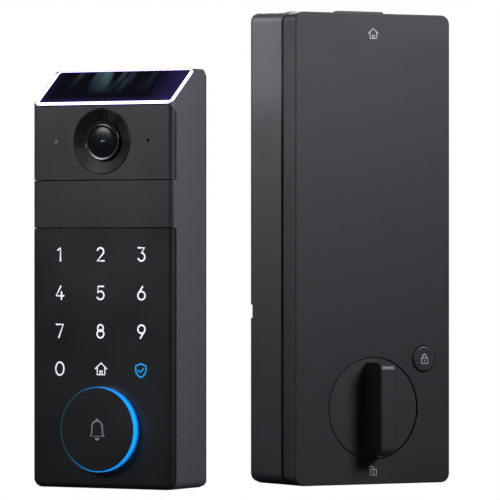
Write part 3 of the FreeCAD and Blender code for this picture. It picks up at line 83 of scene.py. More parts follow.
def nodes_of(finish):
    """Shader of a material, and short ways to add a node and to join two sockets."""
    tree = finish.node_tree

    def node(kind, **settings):
        made = tree.nodes.new("ShaderNode" + kind)
        for key, value in settings.items():
            if hasattr(made, key):
                setattr(made, key, value)
            else:
                made.inputs[key].default_value = value
        return made

    return tree.nodes["Principled BSDF"], node, tree.links.new


def new_finish(name):
    """Empty material, with its shader and the short ways to add and join nodes."""
    finish = bpy.data.materials.new(name)
    finish.use_nodes = True
    return finish, *nodes_of(finish)


def fade(value, start, end, low=0.0, high=1.0):
    """Runs from low to high as a value goes from start to end."""
    tree = value.id_data
    made = tree.nodes.new("ShaderNodeMapRange")
    for socket, number in zip(("From Min", "From Max", "To Min", "To Max"), (start, end, low, high)):
        made.inputs[socket].default_value = number
    tree.links.new(value, made.inputs["Value"])
    return made.outputs["Result"]


def tinted(value, low, high, low_at=0.0, high_at=1.0):
    """Colour that runs from one tint to another with a value."""
    tree = value.id_data
    made = tree.nodes.new("ShaderNodeValToRGB")
    for stop, place, tint in zip(made.color_ramp.elements, (low_at, high_at), (low, high)):
        stop.position = place
        stop.color = (*tint, 1)
    tree.links.new(value, made.inputs["Fac"])
    return made.outputs["Color"]


def roughen(shader, height, strength, distance):
    """Fine relief on a surface, from the heights of a pattern."""
    tree = shader.id_data
    relief = tree.nodes.new("ShaderNodeBump")
    relief.inputs["Strength"].default_value = strength
    relief.inputs["Distance"].default_value = distance
    tree.links.new(height, relief.inputs["Height"])
    tree.links.new(relief.outputs["Normal"], shader.inputs["Normal"])


def speckled(name, shade, fleck, grain, rough, bump, metal=0.0, coat=0.0, stretch=(1, 1, 1)):
    """Coated or moulded surface: fine flecks, cloudy gloss and a grain of that many millimetres."""
    finish, shader, node, join = new_finish(name)
    place = node("TexCoord")
    turn = node("Mapping")
    turn.inputs["Scale"].default_value = stretch
    join(place.outputs["Object"], turn.inputs["Vector"])
    fine = node("TexNoise", Scale=1 / (grain * MM), Detail=3.0, Roughness=0.6)
    join(turn.outputs["Vector"], fine.inputs["Vector"])
    broad = node("TexNoise", Scale=28.0, Detail=2.0)
    join(turn.outputs["Vector"], broad.inputs["Vector"])
    join(tinted(fine.outputs["Fac"], shade, fleck, 0.32, 0.72), shader.inputs["Base Color"])
    join(fade(broad.outputs["Fac"], 0.3, 0.7, rough - 0.04, rough + 0.05), shader.inputs["Roughness"])
    roughen(shader, fine.outputs["Fac"], bump, grain * MM * 0.2)
    shader.inputs["Metallic"].default_value = metal
    shader.inputs["Coat Weight"].default_value = coat
    return finish


def dress(finish, *names):
    """Gives CAD nodes their finish."""
    for name in names:
        slots = frame["nodes"][name].data.materials
        slots.clear()
        slots.append(finish)


dress(speckled("powder_coat_dark", (0.066, 0.068, 0.078), (0.09, 0.093, 0.104), 0.35, 0.46, 0.25),
      "exterior_housing")

# ---- front panels ----
# Camera panel and plain band are satin black mouldings; the keypad is a darker, smoother touch panel.
# They butt against each other with hairline seams.
dress(speckled("panel_black", (0.018, 0.018, 0.021), (0.027, 0.027, 0.031), 0.3, 0.38, 0.16),
      "camera_panel", "middle_panel")
dress(speckled("touch_panel", (0.009, 0.009, 0.011), (0.014, 0.014, 0.016), 0.25, 0.34, 0.08),
      "keypad_panel")

# ---- camera ----
# Black bezel with a fine-grooved cone carrying painted highlight streaks, a barrel and a domed glass over
# dark coated lenses.
# Each is a turned part, pushed into the camera panel from the back.
CAMERA_Z = 152.2
FRONT = 31.1


def select_only(piece):
    bpy.ops.object.select_all(action="DESELECT")
    piece.select_set(True)
    bpy.context.view_layer.objects.active = piece


def settle(piece, unit, x, depth, z, tilt=0.0):
    """Puts a piece made about the origin at its place on a unit, and leaves that place in its mesh."""
    place = unit @ Matrix.Translation(Vector((x, -depth, z)) * MM)
    piece.matrix_world = place @ Matrix.Rotation(tilt, 4, "X")
    select_only(piece)
    bpy.ops.object.transform_apply(location=True, rotation=True, scale=True)


def turned(name, profile, unit, x, z, finish, steps=96):
    """Turned piece from its outline of (radius, depth), spun about the line of sight of the unit."""
    mesh = bpy.data.meshes.new(name)
    points = [(radius * MM, -depth * MM, 0) for radius, depth in profile]
    mesh.from_pydata(points, [(n, n + 1) for n in range(len(points) - 1)], [])
    piece = bpy.data.objects.new(name, mesh)
    bpy.context.scene.collection.objects.link(piece)
    select_only(piece)
    bpy.ops.object.mode_set(mode="EDIT")
    bpy.ops.mesh.select_all(action="SELECT")
    bpy.ops.mesh.spin(steps=steps, angle=2 * pi, center=(0, 0, 0), axis=(0, 1, 0))
    bpy.ops.mesh.select_all(action="SELECT")
    bpy.ops.mesh.remove_doubles(threshold=0.000004)
    bpy.ops.mesh.normals_make_consistent(inside=False)
    bpy.ops.object.mode_set(mode="OBJECT")
    bpy.ops.object.shade_smooth_by_angle(angle=radians(28))
    mesh.materials.append(finish)
    settle(piece, unit, x, 0, z)
    return piece


def unit_coordinates(node, join, unit, x, depth, z):
    """Coordinates of a surface in its unit's own axes, from a centre on that unit."""
    place = node("TexCoord")
    turn = node("Mapping", vector_type="TEXTURE")
    turn.inputs["Location"].default_value = unit @ (Vector((x, -depth, z)) * MM)
    turn.inputs["Rotation"].default_value = unit.to_euler()
    join(place.outputs["Object"], turn.inputs["Vector"])
    parts = node("SeparateXYZ")
    join(turn.outputs["Vector"], parts.inputs["Vector"])
    return turn, parts


def maths(operation, first, second=None, clamp=False):
    """A calculation on one or two values of a material; the second may be a plain number."""
    tree = first.id_data
    made = tree.nodes.new("ShaderNodeMath")
    made.operation = operation
    made.use_clamp = clamp
    tree.links.new(first, made.inputs[0])
    if isinstance(second, bpy.types.NodeSocket):
        tree.links.new(second, made.inputs[1])
    elif second is not None:
        made.inputs[1].default_value = second
    return made.outputs[0]


bezel_outline = [(8.8, 29.1), (12.5, 29.1), (12.5, 30.6), (14.35, 30.6), (14.35, 31.05), (14.2, 31.22),
                 (13.9, 31.25)]
GROOVES = 11
CONE_R, CONE_TOP = 13.7, 31.2
GROOVE_PITCH, GROOVE_DROP = 0.42, 0.15
for groove in range(GROOVES):
    radius = CONE_R - groove * GROOVE_PITCH
    sink = CONE_TOP - groove * GROOVE_DROP
    bezel_outline += [(radius, sink), (radius - 0.12, sink - 0.1), (radius - 0.26, sink - 0.1)]
bezel_outline += [(8.95, 29.5), (8.8, 29.4), (8.8, 29.1)]
bezel_black = speckled("bezel_black", (0.003, 0.003, 0.0035), (0.006, 0.006, 0.007), 0.2, 0.34, 0.1)
cone_shader, cone_node, cone_join = nodes_of(bezel_black)
cone_shader.inputs["Specular IOR Level"].default_value = 0.3
cone_parts = unit_coordinates(cone_node, cone_join, exterior, 0, FRONT, CAMERA_Z)[1]
# Lighter streaks that vary with the angle round the cone are painted highlight, standing in for the sheen of
# its grooves.
cone_painted_sheen = cone_node("TexNoise", noise_dimensions="1D", Scale=1.3, Detail=4.0)
cone_join(maths("ARCTAN2", cone_parts.outputs["Z"], cone_parts.outputs["X"]), cone_painted_sheen.inputs["W"])
cone_sheen_tint = tinted(cone_painted_sheen.outputs["Fac"], (0.003, 0.003, 0.0035), (0.035, 0.035, 0.037), 0.5, 0.72)
cone_join(cone_sheen_tint, cone_shader.inputs["Base Color"])
bezel = turned("camera_ring", bezel_outline, exterior, 0, CAMERA_Z, bezel_black)
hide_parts("camera_bezel")
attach(bezel, "exterior_unit")

barrel_outline = [(6.75, 19.0), (8.6, 19.0), (8.6, 30.95), (8.45, 31.15), (8.25, 31.15), (8.1, 30.95),
                  (7.4, 30.8), (7.3, 31.0), (7.1, 31.05), (6.95, 30.95), (6.75, 30.6), (6.75, 19.0)]
barrel_black = speckled("barrel_black", (0.03, 0.03, 0.033), (0.06, 0.06, 0.064), 0.25, 0.24, 0.1, metal=0.6)
barrel = turned("lens_tube", barrel_outline, exterior, 0, CAMERA_Z, barrel_black)
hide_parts("lens_barrel")
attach(barrel, "exterior_unit")

DOME_R, DOME_FOOT, DOME_RISE, DOME_STEPS = 6.55, 30.7, 0.88, 12
dome_outline = [(0.0, 29.9), (6.5, 29.9), (DOME_R, 30.6)]
for step in range(DOME_STEPS + 1):
    angle = radians(90 * step / DOME_STEPS)
    dome_outline.append((DOME_R * cos(angle), DOME_FOOT + DOME_RISE * sin(angle)))


def lens_glass(name, rim, heart, rough):
    """Dark coated glass: a tint at its rim runs into another at its heart."""
    finish, shader, node, join = new_finish(name)
    place = node("TexCoord")
    centre = node("Mapping", vector_type="TEXTURE")
    centre.inputs["Location"].default_value = exterior @ (Vector((0, -FRONT, CAMERA_Z)) * MM)
    join(place.outputs["Object"], centre.inputs["Vector"])
    reach = node("VectorMath", operation="LENGTH")
    join(centre.outputs["Vector"], reach.inputs[0])
    tints = tinted(fade(reach.outputs["Value"], 0.0, 7 * MM), heart, rim)
    step_in = tints.node.color_ramp.elements.new(0.55)
    step_in.color = (0.004, 0.005, 0.006, 1)
    join(tints, shader.inputs["Base Color"])
    smears = node("TexNoise", Scale=420.0, Detail=4.0)
    join(place.outputs["Object"], smears.inputs["Vector"])
    join(fade(smears.outputs["Fac"], 0.0, 1.0, rough, rough + 0.08), shader.inputs["Roughness"])
    shader.inputs["Specular IOR Level"].default_value = 0.22
    return finish


dome = turned("lens_dome", dome_outline, exterior, 0, CAMERA_Z,
              lens_glass("dome_glass", (0.012, 0.016, 0.018), (0.004, 0.012, 0.014), 0.2))
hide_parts("lens_cover")
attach(dome, "exterior_unit")
dress(lens_glass("inner_glass", (0.02, 0.022, 0.03), (0.02, 0.018, 0.04), 0.06), "lens_element")

# Two tiny pale spots lie on the dome as the glints of the lens.
glint_pale = speckled("glint_pale", (0.6, 0.62, 0.64), (0.8, 0.82, 0.84), 0.1, 0.3, 0.05)
for label, across, radius in (("left", 0.3, 0.42), ("right", 1.35, 0.26)):
    glint = turned("glint_" + label, [(0, 31.5), (radius, 31.52), (radius * 0.8, 31.6), (0, 31.63)], exterior,
                   across, CAMERA_Z, glint_pale, 24)
    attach(glint, "exterior_unit")

# ---- sensor dot and microphone ----
# A tiny smoked window left of the camera and a pin hole right of it, both flush in the panel.
dress(speckled("sensor_smoke", (0.14, 0.135, 0.13), (0.2, 0.19, 0.185), 0.15, 0.4, 0.05, coat=0.3),
      "light_sensor_window")
dress(speckled("mic_mesh", (0.004, 0.004, 0.004), (0.02, 0.02, 0.02), 0.2, 0.5, 0.6), "microphone")

# ---- glowing frame and palm window ----
# Milky strip lit from behind, all round a dark glass that covers the palm reader on the slanted top.
# The glass shows painted light: faint cold streaks near the crest are painted reflection, and a violet edge
# beside the strip is painted spill of its glow.
def glow(name, dim, bright, strength, unit, x, depth, z, across, up, span):
    """Light-guide plastic whose glow goes from dim to bright along a direction over its span."""
    finish, shader, node, join = new_finish(name)
    turn, parts = unit_coordinates(node, join, unit, x, depth, z)
    side = maths("MULTIPLY", parts.outputs["X"], across)
    level = node("Math", operation="MULTIPLY_ADD")
    level.inputs[1].default_value = up
    join(parts.outputs["Z"], level.inputs[0])
    join(side, level.inputs[2])
    tint = tinted(fade(level.outputs[0], -span * MM, span * MM), dim, bright)
    join(tint, shader.inputs["Emission Color"])
    join(tint, shader.inputs["Base Color"])
    haze = node("TexNoise", Scale=900.0, Detail=2.0)
    join(turn.outputs["Vector"], haze.inputs["Vector"])
    roughen(shader, haze.outputs["Fac"], 0.1, 0.00005)
    shader.inputs["Emission Strength"].default_value = strength
    shader.inputs["Roughness"].default_value = 0.35
    return finish


SLOPE = radians(36.61)
CREASE_Z = 168.0
STRIP_LEFT, STRIP_RIGHT = -35.2, 34.9
STRIP_LOW, STRIP_HIGH = 0.9, 26.2
STRIP_WIDE = 1.6
TOP_WIDE = 0.14
STRIP_CORNER, STRIP_THICK, STRIP_PROUD = 2.6, 0.5, 0.14
GAP = 0.08


def slant_plate(name, left, right, low, high, corner, finish):
    """Thin plate with round corners, laid on the slant: x across, low and high up the slope."""
    bpy.ops.object.select_all(action="DESELECT")
    bpy.ops.mesh.primitive_plane_add(size=1)
    plate = bpy.context.object
    plate.name = plate.data.name = name
    plate.scale = ((right - left) * MM, (high - low) * MM, 1)
    plate.location = ((right + left) / 2 * MM, (high + low) / 2 * MM, 0)
    bpy.ops.object.transform_apply(location=True, rotation=True, scale=True)
    bpy.ops.object.mode_set(mode="EDIT")
    bpy.ops.mesh.select_all(action="SELECT")
    bpy.ops.mesh.bevel(offset=corner * MM, segments=8, affect="VERTICES")
    bpy.ops.object.mode_set(mode="OBJECT")
    plate.data.materials.append(finish)
    return plate


def thicken(plate, thick, proud):
    """Gives a plate its thickness, a rounded upper edge, and its place on the slant."""
    wall = plate.modifiers.new("wall", "SOLIDIFY")
    wall.thickness = thick * MM
    wall.offset = -1
    edge = plate.modifiers.new("edge", "BEVEL")
    edge.width = 0.06 * MM
    edge.segments = 2
    select_only(plate)
    bpy.ops.object.modifier_apply(modifier="wall")
    bpy.ops.object.modifier_apply(modifier="edge")
    settle(plate, exterior, 0, FRONT + proud * sin(SLOPE), CREASE_Z + proud * cos(SLOPE), SLOPE)


lavender = glow("strip_lavender", (0.5, 0.4, 1.0), (0.58, 0.48, 1.0), 4.5, exterior, 0, 20, 176, 1, 0, 35)
strip = slant_plate("glow_strip", STRIP_LEFT, STRIP_RIGHT, STRIP_LOW, STRIP_HIGH, STRIP_CORNER, lavender)
bpy.ops.object.mode_set(mode="EDIT")
bpy.ops.mesh.select_all(action="SELECT")
bpy.ops.mesh.inset(thickness=STRIP_WIDE * MM, depth=0)
bpy.ops.object.mode_set(mode="OBJECT")
for face in strip.data.polygons:
    if face.select:
        for index in face.vertices:
            vertex = strip.data.vertices[index]
            if vertex.co.y > (STRIP_LOW + STRIP_HIGH) / 2 * MM:
                vertex.co.y += (STRIP_WIDE - TOP_WIDE) * MM
bpy.ops.object.mode_set(mode="EDIT")
bpy.ops.mesh.delete(type="FACE")
bpy.ops.object.mode_set(mode="OBJECT")
thicken(strip, STRIP_THICK, STRIP_PROUD)
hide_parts("light_guide")
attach(strip, "exterior_unit")

# The palm glass is no lamp: its emission is painted reflection in streaks near the crest and painted violet
# spill along its sides and low edge.
STREAK_CORE, STREAK_EDGE, STREAK_LOW = 3, 24, -9
LEAK_EDGE, LEAK_TOP, LEAK_LOW = 40, -10, -14
palm, palm_shader, palm_node, palm_join = new_finish("palm_glass")
palm_turn, palm_parts = unit_coordinates(palm_node, palm_join, exterior, -5, 11, 182)
streak_turn = palm_node("Mapping")
streak_turn.inputs["Scale"].default_value = (150, 18, 18)
streak_turn.inputs["Rotation"].default_value = (0, radians(-48), 0)
palm_join(palm_turn.outputs["Vector"], streak_turn.inputs["Vector"])
streaks = palm_node("TexNoise", Scale=1.0, Detail=2.0)
palm_join(streak_turn.outputs["Vector"], streaks.inputs["Vector"])
off_centre = maths("ABSOLUTE", palm_parts.outputs["X"])
high = fade(palm_parts.outputs["Z"], STREAK_LOW * MM, 0.0)
middle = fade(off_centre, STREAK_EDGE * MM, STREAK_CORE * MM)
crisp = fade(streaks.outputs["Fac"], 0.48, 0.72)
painted_reflection = maths("MULTIPLY", maths("MULTIPLY", high, middle), crisp)
painted_side_spill = fade(off_centre, STREAK_EDGE * MM, LEAK_EDGE * MM)
painted_low_spill = fade(palm_parts.outputs["Z"], LEAK_TOP * MM, LEAK_LOW * MM)
painted_glow = palm_node("Mix", data_type="RGBA", blend_type="ADD")
palm_join(maths("ADD", painted_side_spill, painted_low_spill, clamp=True), painted_glow.inputs["Factor"])
palm_join(tinted(painted_reflection, (0.0, 0.0, 0.0), (0.34, 0.62, 0.75)), painted_glow.inputs[6])
painted_glow.inputs[7].default_value = (0.09, 0.06, 0.32, 1)
palm_join(painted_glow.outputs[2], palm_shader.inputs["Emission Color"])
palm_shader.inputs["Emission Strength"].default_value = 0.22
palm_shader.inputs["Base Color"].default_value = (0.003, 0.0025, 0.007, 1)
palm_shader.inputs["Specular IOR Level"].default_value = 0.3
palm_shader.inputs["Roughness"].default_value = 0.12
palm_edge = STRIP_WIDE + GAP
PANE_CORNER, PANE_THICK, PANE_PROUD = 1.4, 0.45, 0.1
window = slant_plate("palm_pane", STRIP_LEFT + palm_edge, STRIP_RIGHT - palm_edge, STRIP_LOW + palm_edge,
                     STRIP_HIGH - TOP_WIDE - GAP, PANE_CORNER, palm)
thicken(window, PANE_THICK, PANE_PROUD)
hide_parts("palm_window")
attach(window, "exterior_unit")

# ---- keypad digits and symbols ----
# Back-lit digits in four rows of three, a blue shield for arming, and a plain house as a generic home sign.
# Each is a thin printed line of even width with round ends.


def arc(x, z, wide, high, start, end, steps=18):
    """Points on an oval arc, its angles in degrees, counter-clockwise from the right."""
    turns = [radians(start + (end - start) * n / steps) for n in range(steps + 1)]
    return [(x + wide * cos(turn), z + high * sin(turn)) for turn in turns]


def line_art(name, strokes, size, width, unit, x, depth, z, finish):
    """Printed line drawing: strokes in parts of its height, drawn as flat ribbons with round ends."""
    curve = bpy.data.curves.new(name, "CURVE")
    curve.dimensions = "3D"
    curve.bevel_depth = width * MM / 2
    curve.bevel_resolution = 3
    curve.use_fill_caps = True
    ends = []
    for stroke in strokes:
        closed = stroke[0] == stroke[-1]
        points = stroke[:-1] if closed else stroke
        spline = curve.splines.new("POLY")
        spline.points.add(len(points) - 1)
        for point, (across, up) in zip(spline.points, points):
            point.co = (across * size * MM, 0, up * size * MM, 1)
        spline.use_cyclic_u = closed
        if not closed:
            ends += [points[0], points[-1]]
    piece = bpy.data.objects.new(name, curve)
    bpy.context.scene.collection.objects.link(piece)
    select_only(piece)
    bpy.ops.object.convert(target="MESH")
    parts = [piece]
    for across, up in ends:
        bpy.ops.mesh.primitive_uv_sphere_add(segments=16, ring_count=8, radius=width * MM / 2,
                                             location=(across * size * MM, 0, up * size * MM))
        parts.append(bpy.context.object)
    bpy.ops.object.select_all(action="DESELECT")
    for part in parts:
        part.select_set(True)
    bpy.context.view_layer.objects.active = piece
    if len(parts) > 1:
        bpy.ops.object.join()
    piece.scale = (1, 0.06, 1)
    bpy.ops.object.transform_apply(location=True, rotation=True, scale=True)
    piece.data.materials.clear()
    piece.data.materials.append(finish)
    settle(piece, unit, x, depth, z)
    return piece


TALL = 0.442
six = [arc(0, -0.165, 0.277, 0.277, 0, 360, 28), [(-0.235, -0.02), (0.09, TALL)]]
digits = {
    "1": [[(-0.15, 0.29), (0.05, TALL), (0.05, -TALL)]],
    "2": [arc(0, 0.19, 0.25, 0.252, 160, -38) + [(-0.26, -TALL), (0.28, -TALL)]],
    "3": [[(-0.24, TALL), (0.24, TALL)] + arc(-0.01, -0.17, 0.27, 0.272, 88, -152)],
    "4": [[(0.08, TALL), (-0.29, -0.21), (0.3, -0.21)], [(0.13, 0.04), (0.13, -TALL)]],
    "5": [[(0.24, TALL), (-0.18, TALL), (-0.22, 0.02)] + arc(-0.01, -0.165, 0.28, 0.277, 128, -150)],
    "6": six,
    "7": [[(-0.27, TALL), (0.27, TALL), (-0.08, -TALL)]],
    "8": [arc(0, 0.222, 0.215, 0.22, 0, 360, 26), arc(0, -0.18, 0.265, 0.262, 0, 360, 28)],
    "9": [[(-across, -up) for across, up in stroke] for stroke in six],
    "0": [arc(0, 0, 0.32, TALL, 0, 360, 32)],
}
# A full ring ends exactly on its first point.
for strokes in digits.values():
    for stroke in strokes:
        if abs(stroke[0][0] - stroke[-1][0]) + abs(stroke[0][1] - stroke[-1][1]) < 0.001:
            stroke[-1] = stroke[0]

DIGIT_H = 6.45
LINE = 0.75
COLUMN = 20.7
DIGIT_SHIFT = 0.7
PRINT_DEPTH = FRONT + 0.01
rows = {"123": 102.6, "456": 85.7, "789": 68.9}
lit_white = glow("digit_white", (0.66, 0.67, 0.7), (0.8, 0.81, 0.85), 0.85, exterior, 0, 31, 75, 0.5, 1, 40)
keys = [(mark, (column - 1) * COLUMN, height)
        for row, height in rows.items() for column, mark in enumerate(row)]
keys.append(("0", -COLUMN, 52.3))
for mark, x, z in keys:
    digit = line_art("digit_" + mark, digits[mark], DIGIT_H, LINE, exterior, x - DIGIT_SHIFT, PRINT_DEPTH, z,
                     lit_white)
    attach(digit, "exterior_unit")

house_lines = [[(-0.46, 0.02), (0, 0.42), (0.46, 0.02)],
               [(-0.31, 0.1), (-0.31, -0.4), (0.31, -0.4), (0.31, 0.1)],
               [(-0.09, -0.4), (-0.09, -0.14), (0.09, -0.14), (0.09, -0.4)]]
house = line_art("home_sign", house_lines, 6.2, 0.6, exterior, -0.4, PRINT_DEPTH, 52.4, lit_white)
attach(house, "exterior_unit")

lit_blue = glow("shield_blue", (0.0, 0.2, 0.5), (0.01, 0.26, 0.62), 0.95, exterior, 20, 31, 52, 0, 1, 4)
shield_side = [(-0.38, 0.3), (-0.38, 0.02), (-0.33, -0.16), (-0.2, -0.32), (0.0, -TALL)]
shield_lines = [[(0.0, TALL)] + shield_side + [(-across, up) for across, up in reversed(shield_side[:-1])]
                + [(0.0, TALL)], [(-0.17, 0.01), (-0.04, -0.12), (0.19, 0.12)]]
shield = line_art("shield_sign", shield_lines, 6.8, 0.75, exterior, COLUMN - 1, PRINT_DEPTH, 51.9, lit_blue)
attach(shield, "exterior_unit")

# ---- doorbell ----
# Raised round button in a clear sleeve that carries blue light, brightest on the right.
# The bell is printed on the cap, so it moves in with the button.
BELL_Z = 26.0
BELL_FACE = 35.2
GLOW_FULL, GLOW_FAINT = 1.7, 3.4
dress(speckled("bell_cap_black", (0.009, 0.009, 0.011), (0.015, 0.015, 0.018), 0.3, 0.36, 0.1),
      "doorbell_button")
ring_blue = glow("ring_blue", (0.006, 0.03, 0.035), (0.005, 0.27, 0.83), 1.0, exterior, 3, 35, BELL_Z, 0.9,
                 -0.12, 15)
ring_depth = ring_blue.node_tree.nodes["Separate XYZ"].outputs["Y"]
ring_shader, _, ring_join = nodes_of(ring_blue)
ring_power = maths("MULTIPLY", fade(ring_depth, GLOW_FAINT * MM, GLOW_FULL * MM, 0.04), 1.1)
ring_join(ring_power, ring_shader.inputs["Emission Strength"])
dress(ring_blue, "doorbell_light_ring")
bell_lines = [[(-0.35, -0.29), (-0.27, -0.16)] + arc(0, 0.12, 0.27, 0.26, 180, 0)
              + [(0.27, -0.16), (0.35, -0.29), (-0.35, -0.29)],
              arc(0, -0.39, 0.08, 0.06, 180, 360) + [(-0.08, -0.39)], arc(0, 0.41, 0.045, 0.045, 0, 180)]
icon_grey = speckled("icon_grey", (0.36, 0.36, 0.37), (0.46, 0.46, 0.48), 0.2, 0.5, 0.05)
bell = line_art("bell_sign", bell_lines, 9.9, 0.72, exterior, 0, BELL_FACE, BELL_Z, icon_grey)
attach(bell, "doorbell")

# ---- inside the exterior unit ----
# Boards, sensors, speaker and the switch behind the front; foam seal and steel plate at the door.
# They are screwed or clipped to the housing and show only from behind or when taken apart.
board_green = speckled("board_green", (0.006, 0.05, 0.025), (0.012, 0.09, 0.045), 1.1, 0.45, 0.3, coat=0.3)
part_black = speckled("part_black", (0.02, 0.02, 0.02), (0.035, 0.035, 0.036), 0.4, 0.5, 0.2)
raw_steel = speckled("raw_steel", (0.38, 0.39, 0.41), (0.5, 0.51, 0.53), 0.3, 0.34, 0.2, metal=1.0,
                     stretch=(1, 1, 0.08))
dress(board_green, "camera_board", "led_board", "keypad_board", "exterior_main_board", "interior_main_board")
dress(part_black, "presence_sensor", "palm_sensor_module", "harness_socket", "speaker", "doorbell_switch",
      "interior_socket", "lock_switch", "buzzer")
dress(raw_steel, "back_plate_screws", "plate_screws", "mounting_posts", "usb_port", "idler_pin", "tab_spring")
dress(speckled("seal_foam", (0.012, 0.012, 0.012), (0.03, 0.03, 0.03), 0.5, 0.85, 0.8), "exterior_gasket")
dress(speckled("plate_coat", (0.03, 0.03, 0.032), (0.05, 0.05, 0.052), 0.4, 0.5, 0.3),
      "exterior_back_plate", "mounting_plate", "gear_plate")

# ---- interior unit ----
# Moulded housing with a large flat cover that pulls off its front; both are satin grey plastic.
# The housing's sides are lighter in tone, and a thin shadow line parts it from the cover.
INTERIOR_FOOT = 15
interior = unit_frame("interior", INTERIOR_FOOT)
dress(speckled("housing_grey", (0.07, 0.073, 0.084), (0.092, 0.096, 0.108), 0.35, 0.4, 0.22),
      "interior_housing")
cover_grey = speckled("cover_grey", (0.017, 0.017, 0.02), (0.026, 0.026, 0.03), 0.32, 0.48, 0.2)
cover_grey.node_tree.nodes["Principled BSDF"].inputs["Specular IOR Level"].default_value = 0.34
dress(cover_grey, "front_cover")
dress(speckled("tab_black", (0.014, 0.014, 0.016), (0.024, 0.024, 0.027), 0.3, 0.4, 0.2), "release_tab")
dress(speckled("frame_grey", (0.05, 0.05, 0.054), (0.07, 0.07, 0.075), 0.6, 0.5, 0.2), "interior_frame")
dress(speckled("battery_shell", (0.03, 0.032, 0.04), (0.045, 0.048, 0.056), 0.5, 0.42, 0.2), "battery_pack")
dress(speckled("contact_brass", (0.55, 0.4, 0.14), (0.7, 0.52, 0.2), 0.25, 0.3, 0.2, metal=1.0),
      "battery_contacts")

# ---- thumbturn and drive ----
# Flush disc with an upright grip bar, turned by hand or by the motor through two gears.
# The bar's left flank is painted darker as shade; spindle and blade are zinc and steel.
KNOB_DEPTH, KNOB_Z = 38.5, 33.9
BAR_LEFT = -3.45
knob, knob_shader, knob_node, knob_join = new_finish("knob_grey")
knob_turn, knob_parts = unit_coordinates(knob_node, knob_join, interior, 0, KNOB_DEPTH, KNOB_Z)
knob_grain = knob_node("TexNoise", Scale=2900.0, Detail=3.0)
knob_join(knob_turn.outputs["Vector"], knob_grain.inputs["Vector"])
# The raised bar's left flank gets a near-black colour, which is painted shade.
raised = maths("LESS_THAN", knob_parts.outputs["Y"], -0.3 * MM)
shaded_flank = maths("LESS_THAN", knob_parts.outputs["X"], BAR_LEFT * MM)
flank_shade_mix = knob_node("Mix", data_type="RGBA")
knob_join(maths("MULTIPLY", raised, shaded_flank), flank_shade_mix.inputs["Factor"])
knob_join(tinted(knob_grain.outputs["Fac"], (0.019, 0.019, 0.022), (0.03, 0.03, 0.034)), flank_shade_mix.inputs[6])
flank_shade_mix.inputs[7].default_value = (0.007, 0.007, 0.008, 1)
knob_join(flank_shade_mix.outputs[2], knob_shader.inputs["Base Color"])
roughen(knob_shader, knob_grain.outputs["Fac"], 0.2, 0.00006)
knob_shader.inputs["Roughness"].default_value = 0.4
dress(knob, "thumbturn_knob")
dress(speckled("zinc", (0.4, 0.41, 0.42), (0.52, 0.53, 0.54), 0.5, 0.38, 0.25, metal=1.0),
      "spindle", "tailpiece")
dress(speckled("gear_nylon", (0.5, 0.49, 0.45), (0.6, 0.59, 0.54), 0.6, 0.45, 0.15),
      "spindle_gear", "idler_gear", "motor_pinion", "spindle_bush")
dress(speckled("motor_can", (0.45, 0.46, 0.48), (0.56, 0.57, 0.58), 0.3, 0.3, 0.2, metal=1.0,
               stretch=(1, 1, 0.1)), "motor")

# ---- lock button and symbols of the interior unit ----
# Small round push button with a closed padlock; an open padlock is printed under the thumbturn.
# A plain house stands near the top, in the same pale print.
dress(speckled("button_grey", (0.02, 0.02, 0.023), (0.03, 0.03, 0.034), 0.3, 0.38, 0.15), "lock_button")
lock_body = [(-0.34, -0.44), (0.34, -0.44), (0.34, 0.08), (-0.34, 0.08), (-0.34, -0.44)]
closed_shackle = [(-0.2, 0.08)] + arc(0, 0.22, 0.2, 0.2, 180, 0) + [(0.2, 0.08)]
open_shackle = arc(-0.2, 0.2, 0.2, 0.2, 170, 0) + [(0.0, 0.08)]
keyhole = [(0, -0.12), (0, -0.24)]
COVER_PRINT = 38.81
BUTTON_X, BUTTON_Z, BUTTON_PRINT = 26, 55.7, 39.8
closed_lock = line_art("closed_padlock", [lock_body, closed_shackle, keyhole], 4.7, 0.5, interior, BUTTON_X,
                       BUTTON_PRINT, BUTTON_Z, icon_grey)
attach(closed_lock, "lock_key")
open_lock = line_art("open_padlock", [lock_body, open_shackle, keyhole], 4.7, 0.5, interior, 0, COVER_PRINT,
                     6.2, icon_grey)
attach(open_lock, "cover")
pale_print = speckled("pale_print", (0.42, 0.42, 0.44), (0.52, 0.52, 0.54), 0.2, 0.5, 0.05)
small_house = line_art("small_home_sign", house_lines, 5.4, 0.5, interior, 0, COVER_PRINT, 201.0, pale_print)
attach(small_house, "cover")

# ---- studio ----
# Plain pale floor that runs out to white, a level long-lens camera, and square soft boxes.
# Two boxes light the front, two the back corners, and one stands straight behind.
bpy.ops.object.select_all(action="DESELECT")
bpy.ops.mesh.primitive_plane_add(size=60, location=(0, 0, -0.0006))
floor = bpy.context.object
floor.name = "studio_floor"
pale = bpy.data.materials.new("pale_floor")
pale.use_nodes = True
floor_tree = pale.node_tree
floor_tree.nodes.clear()
seen = floor_tree.nodes.new("ShaderNodeLightPath")
bright = floor_tree.nodes.new("ShaderNodeEmission")
bright.inputs["Color"].default_value = (1, 1, 1, 1)
matte = floor_tree.nodes.new("ShaderNodeBsdfDiffuse")
matte.inputs["Color"].default_value = (0.08, 0.08, 0.085, 1)
either = floor_tree.nodes.new("ShaderNodeMixShader")
surface = floor_tree.nodes.new("ShaderNodeOutputMaterial")
floor_tree.links.new(seen.outputs["Is Camera Ray"], either.inputs[0])
floor_tree.links.new(matte.outputs[0], either.inputs[1])
floor_tree.links.new(bright.outputs[0], either.inputs[2])
floor_tree.links.new(either.outputs[0], surface.inputs["Surface"])
floor.data.materials.append(pale)

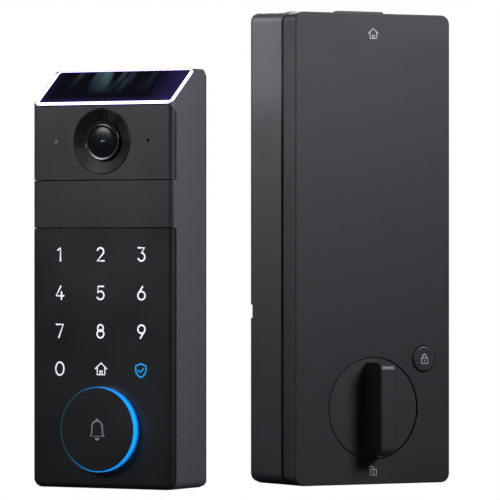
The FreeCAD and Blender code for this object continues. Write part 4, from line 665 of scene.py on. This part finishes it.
sky = bpy.data.worlds.new("studio")
bpy.context.scene.world = sky
sky.use_nodes = True
sky_tree = sky.node_tree
backdrop = sky_tree.nodes["Background"]
sky_seen = sky_tree.nodes.new("ShaderNodeLightPath")
sky_tint = sky_tree.nodes.new("ShaderNodeMix")
sky_tint.data_type = "RGBA"
sky_tint.inputs[6].default_value = (0.03, 0.031, 0.036, 1)
sky_tint.inputs[7].default_value = (1, 1, 1, 1)
sky_tree.links.new(sky_seen.outputs["Is Camera Ray"], sky_tint.inputs["Factor"])
sky_tree.links.new(sky_tint.outputs[2], backdrop.inputs["Color"])


def soft_box(name, place, aim, side, spread, power):
    """Square soft light that looks at a point, with a grid that narrows its spread."""
    lamp = bpy.data.lights.new(name, "AREA")
    lamp.shape = "SQUARE"
    lamp.size = side
    lamp.spread = radians(spread)
    lamp.energy = power
    lamp.color = (0.96, 0.975, 1.0)
    stand = bpy.data.objects.new(name, lamp)
    stand.location = place
    stand.rotation_euler = (Vector(aim) - Vector(place)).to_track_quat("-Z", "Y").to_euler()
    stand.visible_camera = False
    bpy.context.scene.collection.objects.link(stand)


soft_box("left_front_box", (-0.708, -0.497, 0.5), (-0.02, -0.06, 0.22), 0.3, 80, 0.9)
soft_box("right_front_box", (0.7, -0.463, 0.55), (-0.03, -0.04, 0.26), 0.3, 64, 1.35)
soft_box("right_back_box", (0.61, 0.36, 0.5), (-0.01, -0.03, 0.26), 0.5, 90, 0.35)
soft_box("left_back_box", (-0.95, 0.63, 0.45), (0.01, 0.0, 0.18), 0.5, 80, 0.65)
soft_box("back_box", (0.0, 1.1, 0.55), (0.0, 0.0, 0.1), 0.6, 120, 5)

LENS_LENGTH, SENSOR_WIDTH = 324, 36
EYE_HEIGHT, EYE_SIDE, EYE_DISTANCE = 0.1045, 0.00285, 1.954
lens = bpy.data.cameras.new("studio_camera")
lens.lens = LENS_LENGTH
lens.sensor_width = SENSOR_WIDTH
viewer = bpy.data.objects.new("studio_camera", lens)
middle_x = (cad_box[0][0] + cad_box[1][0]) / 2
viewer.location = (middle_x + EYE_SIDE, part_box("keypad_panel")[0].y - EYE_DISTANCE, EYE_HEIGHT)
viewer.rotation_euler = (radians(90), 0, 0)
bpy.context.scene.collection.objects.link(viewer)
bpy.context.scene.camera = viewer
bpy.context.scene.view_settings.view_transform = "Standard"
